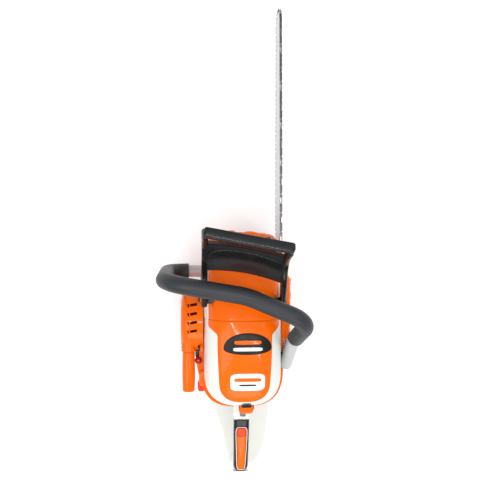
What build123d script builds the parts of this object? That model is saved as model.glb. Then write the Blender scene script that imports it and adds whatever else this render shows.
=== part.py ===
from build123d import *
import math
import os

# Petrol chainsaw, millimetres. +Z up, +Y towards the bar's nose, +X to the saw's right.
# The origin is on the ground, in the middle of the flat pan that the saw stands on.

# ---- driving dimensions ----------------------------------------------------------------------
gap = 0.3                # air between pieces that move past each other
fit = 0.05               # radial clearance of a running fit
wall = 2.6               # plastic walls

crank_y = 14.0           # crankshaft axis, which runs along X
crank_z = 90.0
stroke = 32.0
rod_length = 50.0
bore_r = 22.5
shaft_r = 7.5            # crankshaft in the bearings
stub_r = 6.0             # crankshaft outside the bearings

body_x = 66.5            # half width of the covers
body_rear = -123.0
cover_front = 27.0       # seam between the top cover and the front shroud
shroud_front = 172.0
pan_front = 118.0
housing_top = 100.0      # seam between the lower housing and the covers
cover_top = 199.0

starter_x = -106.0       # outer face of the starter housing
starter_r = 54.0
pulley_x = -92.5
pulley_r = 28.0          # where the rope leaves the pulley
rope_r = 1.75
grip_length = 68.0
starter_grip_r = 11.0

bar_x = 69.0             # middle plane of bar, chain and sprocket
bar_thick = 4.0
pitch = 8.255            # rivet to rivet, .325 inch chain
drive_link_count = 73
gauge = 1.5
sprocket_teeth = 7
nose_teeth = 10
bar_half = 31.0          # chain line above and below the bar's centre line
rail_drop = 3.6          # from the chain line down to the rail
strap_thick = 1.1
cover_right = 90.0       # outer face of the sprocket cover

tube_r = 10.95           # front handle tube
tube_wall = 2.0
handle_grip_r = 14.0

guard_pivot_y = 58.0
guard_pivot_z = 176.0
guard_top = 289.0
guard_left = -72.0
guard_right = 70.5
guard_skew = 26.0        # how far the guard's left end stands in front of its right end

rear_handle_half = 13.5
tail_y = -262.0
guard_plate_z = 12.0     # top of the foot plate under the rear handle

sprocket_r = pitch / math.sin(math.pi / sprocket_teeth)
nose_r = pitch / math.sin(math.pi / nose_teeth)


# ---- helpers ---------------------------------------------------------------------------------
def block(x0, x1, y0, y1, z0, z1):
    """Box between two corners."""
    centre = ((x0 + x1) / 2, (y0 + y1) / 2, (z0 + z1) / 2)
    return Pos(*centre) * Box(abs(x1 - x0), abs(y1 - y0), abs(z1 - z0))


def rod_x(r, x0, x1, y=crank_y, z=crank_z):
    """Cylinder along X."""
    return Pos((x0 + x1) / 2, y, z) * Rot(0, 90, 0) * Cylinder(r, abs(x1 - x0))


def rod_y(r, y0, y1, x, z):
    """Cylinder along Y."""
    return Pos(x, (y0 + y1) / 2, z) * Rot(90, 0, 0) * Cylinder(r, abs(y1 - y0))


def rod_z(r, z0, z1, x, y):
    """Cylinder along Z."""
    return Pos(x, y, (z0 + z1) / 2) * Cylinder(r, abs(z1 - z0))


def outline(points, radius):
    """Closed face in the XY plane, with its corners rounded."""
    return make_face(FilletPolyline(*points, radius=radius, close=True))


def side_plate(points, x0, x1, radius=4.0):
    """Outline given as (y, z) points, extruded along X."""
    return extrude(Plane.YZ.offset(x0) * outline(points, radius), x1 - x0)


def cross_plate(points, y0, y1, radius=4.0):
    """Outline given as (x, z) points, extruded along Y."""
    back = Plane(origin=(0, y1, 0), x_dir=(1, 0, 0), z_dir=(0, -1, 0))
    return extrude(back * outline(points, radius), y1 - y0)


def flat_plate(points, z0, z1, radius=4.0):
    """Outline given as (x, y) points, extruded along Z."""
    return extrude(Plane.XY.offset(z0) * outline(points, radius), z1 - z0)


def turned_x(count, piece, y=crank_y, z=crank_z):
    """Copies of a piece, turned about an axis along X."""
    about = Pos(0, y, z)
    back = Pos(0, -y, -z)
    return [about * Rot(360 * i / count, 0, 0) * back * piece for i in range(count)]


def save(name, *shapes):
    """Write one sub-part, as a group of its solids."""
    solids = [s for shape in shapes for s in shape.solids()]
    for number, solid in enumerate(solids):
        solid.label = f"{name}_{number + 1}" if len(solids) > 1 else name
    export_step(Compound(children=solids, label=name) if len(solids) > 1 else solids[0],
                f"parts/{name}.step")


# ---- engine ----------------------------------------------------------------------------------
web_r = 30.0
web_in = 8.0
web_out = 20.0
bearing_r = 17.5
bearing_x0 = 23.0
bearing_x1 = 34.0
case_half = 38.0
case_bottom = 44.0
deck_z = 132.0
chamber_r = 33.0
pin_z = crank_z + stroke / 2
wrist_z = pin_z + rod_length
crown_z = wrist_z + 15.0
head_z = 183.0
wrist_r = 5.0
crank_pin_r = 8.0
flywheel_x0 = -63.4
flywheel_x1 = -46.0
clutch_x0 = 43.0
clutch_x1 = 57.0
drum_x1 = 60.0
shaft_left = -68.0
shaft_right = 78.0
fin_count = 6
fin_pitch = 7.0
fin_thick = 2.4
intake_z = 150.0
exhaust_z = 148.5
exhaust_r = 9.0
throat_r = 10.0
muffler_y0 = 62.0
plug_r = 6.5
plug_lean = 66.0
plug_axis = Pos(0, crank_y - 8, crown_z + 7) * Rot(plug_lean, 0, 0)


def make_crankcase():
    """Two-bearing crankcase, with its chamber, bearing seats and cylinder deck."""
    case = block(-case_half, case_half, crank_y - 50, crank_y + 46, case_bottom, deck_z)
    case = fillet(case.edges().filter_by(Axis.X), 12)
    case -= rod_x(chamber_r, -22, 22)
    for side in (-1, 1):
        case -= rod_x(bearing_r, side * 22, side * (bearing_x1 + 0.5))
        case -= rod_x(shaft_r + 1.5, side * 30, side * (case_half + 1))
    return case - rod_z(bore_r + 2.5, crank_z, deck_z + 1, 0, crank_y)


def make_cylinder():
    """Finned cylinder with a flange, intake and exhaust stubs and the plug seat."""
    body = block(-30, 30, crank_y - 30, crank_y + 30, deck_z, deck_z + 6)
    body += rod_z(bore_r + 5, deck_z + 1, head_z, 0, crank_y)
    body += block(-14, 14, crank_y - 38, crank_y, intake_z - 14, intake_z + 14)
    body += block(-14, 14, crank_y, muffler_y0, exhaust_z - 11, exhaust_z + 11)
    for i in range(fin_count):
        z = deck_z + 12 + fin_pitch * i
        fin = block(-40, 40, crank_y - 36, crank_y + 42, z, z + fin_thick)
        body += fillet(fin.edges().filter_by(Axis.Z), 12)
    body -= rod_z(bore_r, deck_z - 1, crown_z + 6, 0, crank_y)
    body -= rod_y(throat_r - 0.3, crank_y - 39, crank_y - 10, 0, intake_z)
    body -= rod_y(exhaust_r, crank_y + 10, muffler_y0 + 1, 0, exhaust_z)
    body -= plug_axis * rod_z(plug_r, -20, 40, 0, 0)
    body -= plug_axis * rod_z(11, 10, 60, 0, 0)
    return body - block(-17, 12, -40, crank_y - 14, head_z - 9, head_z + 9)


def make_piston():
    """Hollow piston with two ring grooves and the wrist pin's bore."""
    r = bore_r - fit
    piston = rod_z(r, wrist_z - 14, crown_z, 0, crank_y)
    piston -= rod_z(r - 3, wrist_z - 15, crown_z - 5, 0, crank_y)
    piston += rod_x(8.5, -(r - 2), -10, crank_y, wrist_z) + rod_x(8.5, 10, r - 2, crank_y, wrist_z)
    piston &= rod_z(r, wrist_z - 14, crown_z, 0, crank_y)
    piston -= rod_x(wrist_r, -30, 30, crank_y, wrist_z)
    return piston - make_rings(0.0)


def make_rings(shrink=0.05):
    """Two piston rings; with no shrink, the grooves they sit in."""
    rings = []
    for z in (crown_z - 3.5, crown_z - 7.5):
        ring = rod_z(bore_r - 0.02, z, z + 1.5 - shrink, 0, crank_y)
        rings.append(ring - rod_z(bore_r - 2 + shrink, z - 1, z + 2, 0, crank_y))
    return Compound(children=rings)


def make_rod():
    """Connecting rod between the crank pin and the wrist pin."""
    rod = rod_x(13, -6, 6, crank_y, pin_z) + rod_x(9, -6, 6, crank_y, wrist_z)
    rod += block(-3.5, 3.5, crank_y - 5.5, crank_y + 5.5, pin_z, wrist_z)
    rod -= rod_x(crank_pin_r + fit, -9, 9, crank_y, pin_z)
    return rod - rod_x(wrist_r + fit, -9, 9, crank_y, wrist_z)


def make_crankshaft():
    """Built-up crankshaft at top dead centre: two webs, crank pin and both shaft ends."""
    shaft = rod_x(crank_pin_r, -web_in - 1, web_in + 1, crank_y, pin_z)
    for side in (-1, 1):
        web = rod_x(web_r, side * web_in, side * web_out)
        web -= block(side * 7, side * 21, crank_y + 17, crank_y + 40, crank_z, crank_z + 40)
        web -= block(side * 7, side * 21, crank_y - 40, crank_y - 17, crank_z, crank_z + 40)
        shaft += web + rod_x(shaft_r, side * web_out, side * 38)
    return shaft + rod_x(stub_r, shaft_left, -37) + rod_x(stub_r, 37, shaft_right)


def make_bearings():
    """Two deep-groove main bearings."""
    ring = [rod_x(bearing_r, s * bearing_x0, s * bearing_x1) for s in (-1, 1)]
    return Compound(children=[b - rod_x(shaft_r, -60, 60) for b in ring])


def make_flywheel():
    """Flywheel with fan blades, a magnet boss and its hub."""
    wheel = rod_x(45, flywheel_x1 - 4, flywheel_x1) + rod_x(14, flywheel_x0, flywheel_x1)
    blade = block(flywheel_x0 + 4, flywheel_x1 - 3, crank_y - 1.2, crank_y + 1.2,
                  crank_z + 18, crank_z + 44)
    for one in turned_x(14, blade):
        wheel += one
    wheel += rod_x(45, flywheel_x1 - 12, flywheel_x1 - 3) - rod_x(41, -70, -40)
    return wheel - rod_x(stub_r + fit, -80, -30)


def make_ignition_coil():
    """Ignition module on its laminated core, above the flywheel's rim."""
    core = block(-54, -46, crank_y + 14, crank_y + 22, crank_z + 45.5, crank_z + 56)
    core += block(-54, -46, crank_y - 12, crank_y - 4, crank_z + 46.5, crank_z + 56)
    core += block(-54, -46, crank_y - 12, crank_y + 22, crank_z + 52, crank_z + 58)
    body = block(-58, -42, crank_y - 6, crank_y + 16, crank_z + 54, crank_z + 72)
    return core + fillet(body.edges(), 2)


def make_spark_plug():
    """Plug: thread, hexagon and insulator, leaning to the rear."""
    plug = rod_z(plug_r, -2, 10, 0, 0) + rod_z(3.6, 15, 24, 0, 0)
    plug += extrude(Plane.XY.offset(10) * RegularPolygon(9, 6), 5)
    return plug_axis * plug


outlet_up = 21.0             # along the plug's axis, from its seat to the boot's outlet
outlet_length = 14.0


def make_plug_boot():
    """Rubber boot over the plug's insulator, with its outlet to the left."""
    outlet = Rot(0, -90, 0) * rod_z(4.5, 4, outlet_length, outlet_up, 0)
    boot = rod_z(6.5, 15.2, 26, 0, 0) + outlet
    return plug_axis * (boot - rod_z(3.7, 15, 24.2, 0, 0))


def make_ignition_lead():
    """Lead from the coil over to the plug boot."""
    outlet = (plug_axis * Pos(0, 0, outlet_up)).position
    end = (-outlet_length - 0.2, outlet.Y, outlet.Z)
    coil_z = crank_z + 66
    path = FilletPolyline((-50, crank_y - 6.2, coil_z), (-50, outlet.Y, coil_z), (-44, outlet.Y, outlet.Z),
                          end, radius=(5, 8))
    return sweep(Plane(path @ 0, z_dir=path % 0) * Circle(2.6), path=path)


# ---- fuel intake, filter, exhaust ------------------------------------------------------------
carb_y0 = -84.0
carb_y1 = -52.0
butterfly_y = -66.0
spindle_r = 2.5
lever_z = 138.0             # where the throttle rod meets the butterfly lever
rod_x_place = 25.6
filter_y0 = -104.0
throttle_rod_rear = -106.0


def make_manifold():
    """Rubber intake boot between the cylinder and the carburettor."""
    front = crank_y - 38
    boot = rod_y(16, carb_y1, carb_y1 + 4, 0, intake_z) + rod_y(13.5, carb_y1, front, 0, intake_z)
    return boot - rod_y(throat_r, carb_y1 - 1, front + 1, 0, intake_z)


def make_carburettor():
    """Carburettor body with its throat, pump cover and spindle bore."""
    body = fillet(block(-21, 21, carb_y0, carb_y1, intake_z - 19, intake_z + 19).edges(), 2.5)
    body += block(-15, 15, carb_y0 + 4, carb_y1 - 4, intake_z + 19, intake_z + 23)
    body -= rod_y(throat_r, carb_y0 - 1, carb_y1 + 1, 0, intake_z)
    return body - rod_x(spindle_r + fit, -30, 30, butterfly_y, intake_z)


def make_butterfly():
    """Throttle disc on its spindle, with the lever that the throttle rod works."""
    disc = rod_y(throat_r - 0.3, butterfly_y - 0.6, butterfly_y + 0.6, 0, intake_z)
    spindle = rod_x(spindle_r, -23, 25.5, butterfly_y, intake_z)
    lever = block(22, 24, butterfly_y - 3, butterfly_y + 3, lever_z - 2, intake_z)
    return disc + spindle + lever


def make_air_filter():
    """Pleated filter box on the carburettor's mouth."""
    body = fillet(block(-42, 42, filter_y0, carb_y0, 112, 168).edges(), 6)
    for i in range(9):
        x = -36 + 9 * i
        body -= block(x - 1.5, x + 1.5, filter_y0 - 1, filter_y0 + 5, 120, 160)
    body -= block(rod_x_place - 3, rod_x_place + 3, -130, -80, lever_z - 3, lever_z + 5)
    return body - rod_y(throat_r, carb_y0 - 12, carb_y0 + 1, 0, intake_z)


def make_muffler():
    """Stamped exhaust box with an outlet at the front."""
    box = fillet(block(-38, 40, muffler_y0, 118, 104, 163).edges(), 7)
    box += block(-12, 12, 118, 124, 128, 142)
    return box - block(-10, 10, 112, 125, 130, 140)


# ---- starter ---------------------------------------------------------------------------------
spring_x0 = -102.0
spring_x1 = -98.2
post_r = 6.0
starter_grip_y1 = crank_y - starter_r + 2      # the grip's front end, against the housing
fairing_x = pulley_x + starter_grip_r + 2      # the rear fairing passes beside the grip
fairing_top = 116.0
lug_x = -body_x - 6
lug_places = [(crank_y + y, crank_z + z) for y, z in ((-50, -30), (50, -30), (44, 40), (-42, 40))]


def starter_form(inset):
    """Round starter housing with a foot; the inset makes the space inside it."""
    r = starter_r - inset
    face = rod_x(r, starter_x + inset, -body_x - 1 - 0.01 * inset)
    foot = block(starter_x + inset, -body_x - 1, crank_y - r * 0.86, crank_y + r * 0.86,
                 crank_z - r - 6 + inset, crank_z)
    form = face + foot
    rim = form.faces().sort_by(Axis.X)[0].edges()
    return fillet(rim, 15 - inset)


def make_starter_housing():
    """Dished starter housing with slanted vents on top, louvres on its face and the post."""
    shell = starter_form(0.0) - Pos(1, 0, 0) * starter_form(wall)
    for i in range(4):
        y = crank_y + 33 - 14.6 * i
        shell -= Pos(-84, y, 150) * Rot(0, 0, 10) * Box(12, 4.4, 70)
        shell -= Pos(-93, y - 1.5, 150) * Rot(0, 0, 10) * Box(2.6, 5.5, 70)
    slot = block(starter_x - 1, starter_x + 8, crank_y - 2, crank_y + 2, crank_z + 16, crank_z + 36)
    for one in turned_x(16, slot):
        shell -= one
    shell += make_fairing()
    for y, z in lug_places:
        shell += rod_x(7, lug_x, -body_x - 1, y, z) - rod_x(starter_r - 1, -200, 0)
        shell -= rod_x(2.6, -120, -60, y, z) + rod_x(4.6, starter_x, lug_x, y, z)
    shell += rod_x(post_r, starter_x + 1, pulley_x + 7) + rod_x(12, starter_x + 1, spring_x0 - gap)
    return shell - rod_y(rope_r + 1.2, crank_y - 70, crank_y - 20, pulley_x, crank_z + pulley_r)


def make_fairing():
    """Hollow tail of the starter housing, which runs back between the grip and the covers."""
    inner = -body_x - 0.4
    plan = [(inner, crank_y - 42), (fairing_x, crank_y - 44), (fairing_x + 1.5, crank_y - 76),
            (fairing_x + 8.5, crank_y - 109), (inner, crank_y - 114)]
    space = [(inner - wall, crank_y - 42), (fairing_x + wall, crank_y - 44),
             (fairing_x + 1.5 + wall, crank_y - 74), (inner - wall, crank_y - 98)]
    solid = flat_plate(plan, fairing_top - 48, fairing_top, 2)
    return solid - flat_plate(space, fairing_top - 49, fairing_top - wall, 1)


def make_pulley():
    """Rope pulley that turns on the starter housing's post."""
    wheel = rod_x(pulley_r + 4, pulley_x - 4, pulley_x + 4)
    wheel -= rod_x(40, pulley_x - 2.2, pulley_x + 2.2) - rod_x(pulley_r - rope_r - gap, -110, -80)
    wheel += rod_x(13, pulley_x + 4, pulley_x + 9)
    return wheel - rod_x(post_r + fit, -120, -60)


def make_recoil_spring():
    """Flat spiral spring between the pulley and the housing."""
    turns, steps, inner, growth = 5, 20, 14.5, 2.6
    curve = []
    for i in range(turns * steps + 1):
        a = 2 * math.pi * i / steps
        curve.append((a, inner + growth * i / steps))
    near = [(crank_y + r * math.cos(a), crank_z + r * math.sin(a)) for a, r in curve]
    far = [(crank_y + (r + 0.8) * math.cos(a), crank_z + (r + 0.8) * math.sin(a)) for a, r in curve]
    face = make_face(Polyline(*near, *far[::-1], close=True))
    return extrude(Plane.YZ.offset(spring_x0) * face, spring_x1 - spring_x0 - gap)


def make_rope():
    """The stretch of rope from the pulley to the grip."""
    return rod_y(rope_r, starter_grip_y1, crank_y, pulley_x, crank_z + pulley_r)


def make_starter_grip():
    """Barrel grip with flutes round it."""
    y0 = starter_grip_y1 - grip_length
    z = crank_z + pulley_r
    grip = rod_y(starter_grip_r, y0, starter_grip_y1, pulley_x, z)
    grip = fillet(grip.edges(), 3.5)
    for i in range(3):
        y = y0 + 16 + 18 * i
        ring = rod_y(starter_grip_r + 2, y - 1, y + 1, pulley_x, z)
        grip -= ring - rod_y(starter_grip_r - 1, y - 2, y + 2, pulley_x, z)
    return grip


# ---- clutch, chain drive, bar and chain ------------------------------------------------------
drum_r = 36.0
needle_r = 8.5
stud_y = (58.0, 84.0)
stud_r = 4.0


def make_clutch_hub():
    """Clutch spider with its three shoes."""
    hub = rod_x(14, clutch_x0, clutch_x1)
    ring = rod_x(drum_r - 3, clutch_x0 + 2, clutch_x1 - 2) - rod_x(24, 30, 70)
    arm = block(clutch_x0 + 3, clutch_x1 - 3, crank_y - 5, crank_y + 5, crank_z, crank_z + 27)
    for one in turned_x(3, arm):
        hub += one
    split = block(30, 70, crank_y - 1.2, crank_y + 1.2, crank_z - 40, crank_z - 17)
    for cut in turned_x(3, split):
        ring -= cut
    return (hub + ring) - rod_x(stub_r + fit, 30, 70)


def make_drum():
    """Clutch drum with the chain sprocket on its outer side."""
    drum = rod_x(drum_r, clutch_x0 + 1, drum_x1) - rod_x(drum_r - 2, 30, drum_x1 - 1.8)
    sprocket = rod_x(sprocket_r - 9.0, drum_x1, bar_x + 6)
    rims = rod_x(sprocket_r - 4.2, drum_x1 + 1, bar_x - 3.4)
    rims += rod_x(sprocket_r - 4.2, bar_x + 3.4, bar_x + 6)
    drum += sprocket + rims
    return drum - rod_x(needle_r, 30, 90)


def make_needle_bearing():
    """Needle bearing inside the sprocket."""
    return rod_x(needle_r, drum_x1, bar_x + 5) - rod_x(stub_r + fit, 30, 90)


def make_brake_band():
    """Steel band round the drum, with its anchor ears at the front."""
    band = rod_x(drum_r + 2.2, clutch_x0 + 3, clutch_x1) - rod_x(drum_r + 1, 30, 90)
    band -= block(30, 90, crank_y, crank_y + 60, crank_z - 5, crank_z + 5)
    for z in (crank_z - 6.2, crank_z + 5):
        ear_y = crank_y + drum_r + 1
        band += block(clutch_x0 + 3, clutch_x1, ear_y, ear_y + 11, z, z + 1.2)
    return band


def make_oil_pump():
    """Chain oil pump round the shaft, inboard of the clutch."""
    pump = rod_x(16, case_half, clutch_x0 - 1)
    pump += block(case_half, clutch_x0 - 1, crank_y - 8, crank_y + 8, crank_z - 30, crank_z)
    return pump - rod_x(stub_r + 1, 30, 90)


def chain_circles(length):
    """Centre and radius of the circles that the chain line wraps: sprocket, bar, nose."""
    return [(crank_y, sprocket_r), (crank_y + 60, bar_half - 2), (crank_y + 0.52 * length, bar_half),
            (crank_y + length, nose_r)]


def tangent(first, second):
    """End points of the upper straight that touches two circles on the centre line."""
    (y0, r0), (y1, r1) = first, second
    tilt = math.asin((r1 - r0) / (y1 - y0))
    normal = (-math.sin(tilt), math.cos(tilt))
    start = (y0 + r0 * normal[0], r0 * normal[1])
    end = (y1 + r1 * normal[0], r1 * normal[1])
    return start, end, tilt


def chain_upper(length):
    """Upper half of the chain line, from the sprocket's rear to the nose's tip."""
    circles = chain_circles(length)
    runs = [tangent(a, b) for a, b in zip(circles, circles[1:])]
    pieces = []
    point, heading = (circles[0][0] - circles[0][1], 0), math.pi / 2
    for (centre, r), run in zip(circles, runs):
        pieces.append(("arc", centre, r, heading, run[2]))
        pieces.append(("line", run[0], run[1]))
        heading = run[2]
    pieces.append(("arc", circles[-1][0], circles[-1][1], heading, -math.pi / 2))
    return pieces


def piece_length(piece):
    """Length of one arc or straight of the chain line."""
    if piece[0] == "line":
        return math.dist(piece[1], piece[2])
    return piece[2] * (piece[3] - piece[4])


def fitted_bar_length():
    """Shaft-to-nose distance that the whole number of drive links needs, by halving."""
    low, high = 4 * bar_half, drive_link_count * pitch
    for _ in range(50):
        length = (low + high) / 2
        loop = 2 * sum(piece_length(p) for p in chain_upper(length))
        if loop < 2 * drive_link_count * pitch:
            low = length
        else:
            high = length
    return low


bar_length = fitted_bar_length()
nose_y = crank_y + bar_length


def on_chain(distance):
    """Point on the chain line at a distance along it, as (y, z) about the bar's middle."""
    pieces = chain_upper(bar_length)
    half = sum(piece_length(p) for p in pieces)
    distance %= 2 * half
    side = 1
    if distance > half:
        distance, side = 2 * half - distance, -1
    for piece in pieces:
        length = piece_length(piece)
        if distance <= length:
            break
        distance -= length
    if piece[0] == "line":
        t = min(distance / length, 1)
        y = piece[1][0] + (piece[2][0] - piece[1][0]) * t
        return y, side * (piece[1][1] + (piece[2][1] - piece[1][1]) * t)
    heading = piece[3] - min(distance, length) / piece[2]
    return piece[1] - piece[2] * math.sin(heading), side * piece[2] * math.cos(heading)


def link_places():
    """Placement of every rivet-to-rivet stretch: mid point of the chord, and its turn about X."""
    rivets = [on_chain((i + 0.5) * pitch) for i in range(2 * drive_link_count)]
    places = []
    for i, (y0, z0) in enumerate(rivets):
        y1, z1 = rivets[(i + 1) % len(rivets)]
        turn = math.degrees(math.atan2(z1 - z0, y1 - y0))
        place = Pos(bar_x, (y0 + y1) / 2, crank_z + (z0 + z1) / 2) * Rot(turn, 0, 0)
        places.append(place)
    return places


rivet_r = 1.7


def link_plate(points, x0, x1, radius=0.8):
    """Chain link plate with its two rivet holes; points are (along, up)."""
    plate = side_plate(points, x0, x1, radius)
    for s in (-1, 1):
        plate -= rod_x(rivet_r + 0.1, x0 - 1, x1 + 1, s * pitch / 2, 0)
    return plate


strap_outline = [(-7.2, -2.9), (7.2, -2.9), (7.2, 2.6), (-7.2, 2.6)]
drive_outline = [(-7, 2.4), (-7, -2.6), (-3.2, -3.6), (-2.4, -8.2), (0.6, -8.2), (4.6, -3.4),
                 (7, -2.6), (7, 2.4)]
cutter_outline = [(-7.6, -2.9), (7.2, -2.9), (7.2, 5.0), (5.2, 5.6), (3.4, 2.7), (1.4, 2.7),
                  (0.2, 6.2), (-7.6, 5.4)]


def make_chain():
    """Drive links, side straps, cutters and rivets, all round the bar."""
    inner, outer = gauge / 2, gauge / 2 + strap_thick
    drive = link_plate(drive_outline, -inner, inner, 0.5)
    strap = link_plate(strap_outline, inner, outer, 1.8)
    blade = link_plate(cutter_outline, inner, outer, 0.4)
    roof = block(-inner, outer, -7.2, 0.4, 4.3, 5.3)
    blade += roof & side_plate(cutter_outline, -inner, outer, 0.4)
    pin = rod_x(rivet_r, -outer - 0.4, outer + 0.4, pitch / 2, 0)
    other_strap, other_blade = mirror(strap, about=Plane.YZ), mirror(blade, about=Plane.YZ)
    drives, straps, cutters, rivets = [], [], [], []
    for i, place in enumerate(link_places()):
        rivets.append(place * pin)
        if i % 2 == 0:
            drives.append(place * drive)
            continue
        kind = (i // 2) % 4
        near = blade if kind == 0 else strap
        far = other_blade if kind == 2 else other_strap
        (cutters if kind == 0 else straps).append(place * near)
        (cutters if kind == 2 else straps).append(place * far)
    return drives, straps, cutters, rivets


def bar_face(inset):
    """Bar's side view, inset from the chain line; the tail is cut square behind the studs."""
    faces = []
    circles = chain_circles(bar_length)[1:]
    for (y0, r0), (y1, r1) in zip(circles, circles[1:]):
        start, end, _ = tangent((y0, r0 - inset), (y1, r1 - inset))
        faces.append(make_face(Polyline(start, end, (end[0], -end[1]), (start[0], -start[1]),
                                        close=True)))
    for y, r in circles:
        faces.append(Pos(y, 0) * Circle(r - inset))
    whole = faces[0]
    for face in faces[1:]:
        whole += face
    return Plane.YZ * Pos(0, crank_z) * whole


def make_bar():
    """Guide bar: laminated blade with the drive groove, stud slot and nose pocket."""
    half = bar_thick / 2
    bar = extrude(Pos(bar_x - half, 0, 0) * bar_face(rail_drop), bar_thick)
    groove = gauge / 2 + 0.15
    core = extrude(Pos(bar_x - groove, 0, 0) * bar_face(rail_drop + 6.5), 2 * groove)
    bar -= extrude(Pos(bar_x - groove, 0, 0) * bar_face(rail_drop - 1), 2 * groove) - core
    bar -= rod_x(nose_r - 3, bar_x - groove, bar_x + groove, nose_y) - rod_x(7, 60, 80, nose_y)
    slot = Pos(0, (stud_y[0] + stud_y[1]) / 2 + 2, crank_z) * Rot(0, 90, 0) * Pos(0, 0, bar_x)
    slot *= extrude(SlotCenterToCenter(stud_y[1] - stud_y[0] + 8, 2 * stud_r + 0.2, rotation=90), 6,
                    both=True)
    bar -= slot
    for z in (crank_z - tension_drop, crank_z + tension_drop):
        bar -= rod_x(3.2, 60, 80, stud_y[0], z)
    for i in range(6):
        bar -= rod_x(1.2, bar_x + half - 0.3, bar_x + half + 1, nose_y - 34, crank_z - 12 + 4.8 * i)
    return bar


def make_nose_sprocket():
    """Toothed wheel in the bar's nose."""
    x0, x1 = bar_x - gauge / 2, bar_x + gauge / 2
    wheel = rod_x(nose_r - 3.4, x0, x1, nose_y)
    rivets = [on_chain((i + 0.5) * pitch) for i in range(2 * drive_link_count)]
    y, z = max([((a[0] + b[0]) / 2, (a[1] + b[1]) / 2) for a, b in zip(rivets[::2], rivets[1::2])])
    phase = math.degrees(math.atan2(z, y - nose_y))
    gap_cut = rod_x(5.4, x0 - 1, x1 + 1, nose_y + nose_r - 4.5)
    about, back = Pos(0, nose_y, crank_z), Pos(0, -nose_y, -crank_z)
    for i in range(nose_teeth):
        wheel -= about * Rot(phase + 360 * i / nose_teeth, 0, 0) * back * gap_cut
    return wheel - rod_x(7 + fit, 60, 80, nose_y)


# ---- chain side hardware ---------------------------------------------------------------------
pad_x = bar_x - bar_thick / 2          # face of the bar pad
cover_x0 = bar_x + bar_thick / 2       # inner face of the sprocket cover's clamp pad
nut_x = cover_right - 6.0
housing_wall_x = 60.0                  # inner face of the housing's right wall
spikes_x = 47.0
spike_thick = 3.0
tension_drop = 14.5      # tensioner pin below the bar's centre line


def make_sprocket_cover():
    """Outer cover over the sprocket and the bar's tail, open at the front for the bar."""
    side = [(crank_y - 44, 46), (crank_y - 52, 70), (crank_y - 52, 112), (crank_y - 30, 134),
            (124, 134), (134, 120), (134, 56), (124, 42), (crank_y - 30, 38)]
    inner = [(crank_y - 41, 50), (crank_y - 49, 72), (crank_y - 49, 110), (crank_y - 29, 131),
             (122, 131), (131, 119), (131, 58), (122, 45), (crank_y - 29, 41)]
    cover = side_plate(side, body_x + 1, cover_right, 9)
    rim = cover.faces().sort_by(Axis.X)[-1].edges()
    cover = fillet(rim, 5)
    cover -= side_plate(inner, body_x, cover_right - wall, 7)
    cover -= block(60, cover_right - wall, 120, 140, 46, 128)
    cover += block(cover_x0, cover_right - wall, stud_y[0] - 14, stud_y[1] + 14, crank_z - 15, crank_z + 15)
    for i in range(5):
        y = crank_y - 34 + 11 * i
        cover -= block(cover_right - 4, cover_right + 1, y, y + 4.5, 62, 118)
    for y in stud_y:
        cover -= rod_x(stud_r + 0.2, 60, 100, y) + rod_x(9, nut_x, 100, y)
    return cover


def make_studs():
    """Two bar studs, screwed into the crankcase side of the housing."""
    return [rod_x(stud_r, housing_wall_x, cover_right - 1, y) for y in stud_y]


def make_nuts():
    """Two flanged bar nuts."""
    nuts = []
    for y in stud_y:
        place = Pos(nut_x, y, crank_z) * Rot(0, 90, 0)
        flange = Pos(0, 0, 0.75) * Cylinder(8.5, 1.5)
        nut = place * (flange + extrude(RegularPolygon(7, 6), 6.5))
        nuts.append(nut - rod_x(stud_r, 60, 110, y))
    return nuts


def make_tensioner():
    """Chain tensioner: adjusting screw and the travelling block with its pin in the bar."""
    z = crank_z - tension_drop
    screw = rod_y(2.5, stud_y[0] - 5, 112, pad_x - 5, z) + rod_y(4, 112, 116, pad_x - 5, z)
    slider = block(pad_x - 6.5, pad_x - 0.5, stud_y[0] - 5, stud_y[0] + 5, z - 4.5, z + 4.5)
    pin = rod_x(3, pad_x - 1, bar_x + 1.5, stud_y[0], z)
    return slider + pin - rod_y(2.5, 0, 200, pad_x - 5, z), screw


def make_spikes():
    """Toothed bumper plate in front of the bar pad."""
    teeth = [(pan_front, 42), (pan_front, 98), (pan_front + 8, 98)]
    for i in range(4):
        z = 92 - 13 * i
        teeth += [(pan_front + 20, z), (pan_front + 9, z - 6.5)]
    teeth += [(pan_front + 8, 42)]
    return side_plate(teeth, spikes_x, spikes_x + spike_thick, 1.0)


def make_catcher():
    """Chain catcher under the bar's tail."""
    hook = block(pad_x - 5, cover_right - 8, 110, 118, 30, 38)
    return fillet(hook.edges().filter_by(Axis.X), 2.5)


# ---- lower housing, tank and rear handle -----------------------------------------------------
tank_front = -78.0
tank_x = 56.0
housing_rear = -58.0
tank_top = 82.0
rim_z = 84.0
fuel_cap_y = -86.0
oil_cap_y = 92.0
fuel_cap_z = 44.0
oil_cap_z = 22.0
cap_r = 13.0
insert_slot = 7.0
insert_y0 = -256.0
insert_y1 = -156.0
knob_r = 5.0
knob_x = 1.4
knob_z = 125.0


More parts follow.
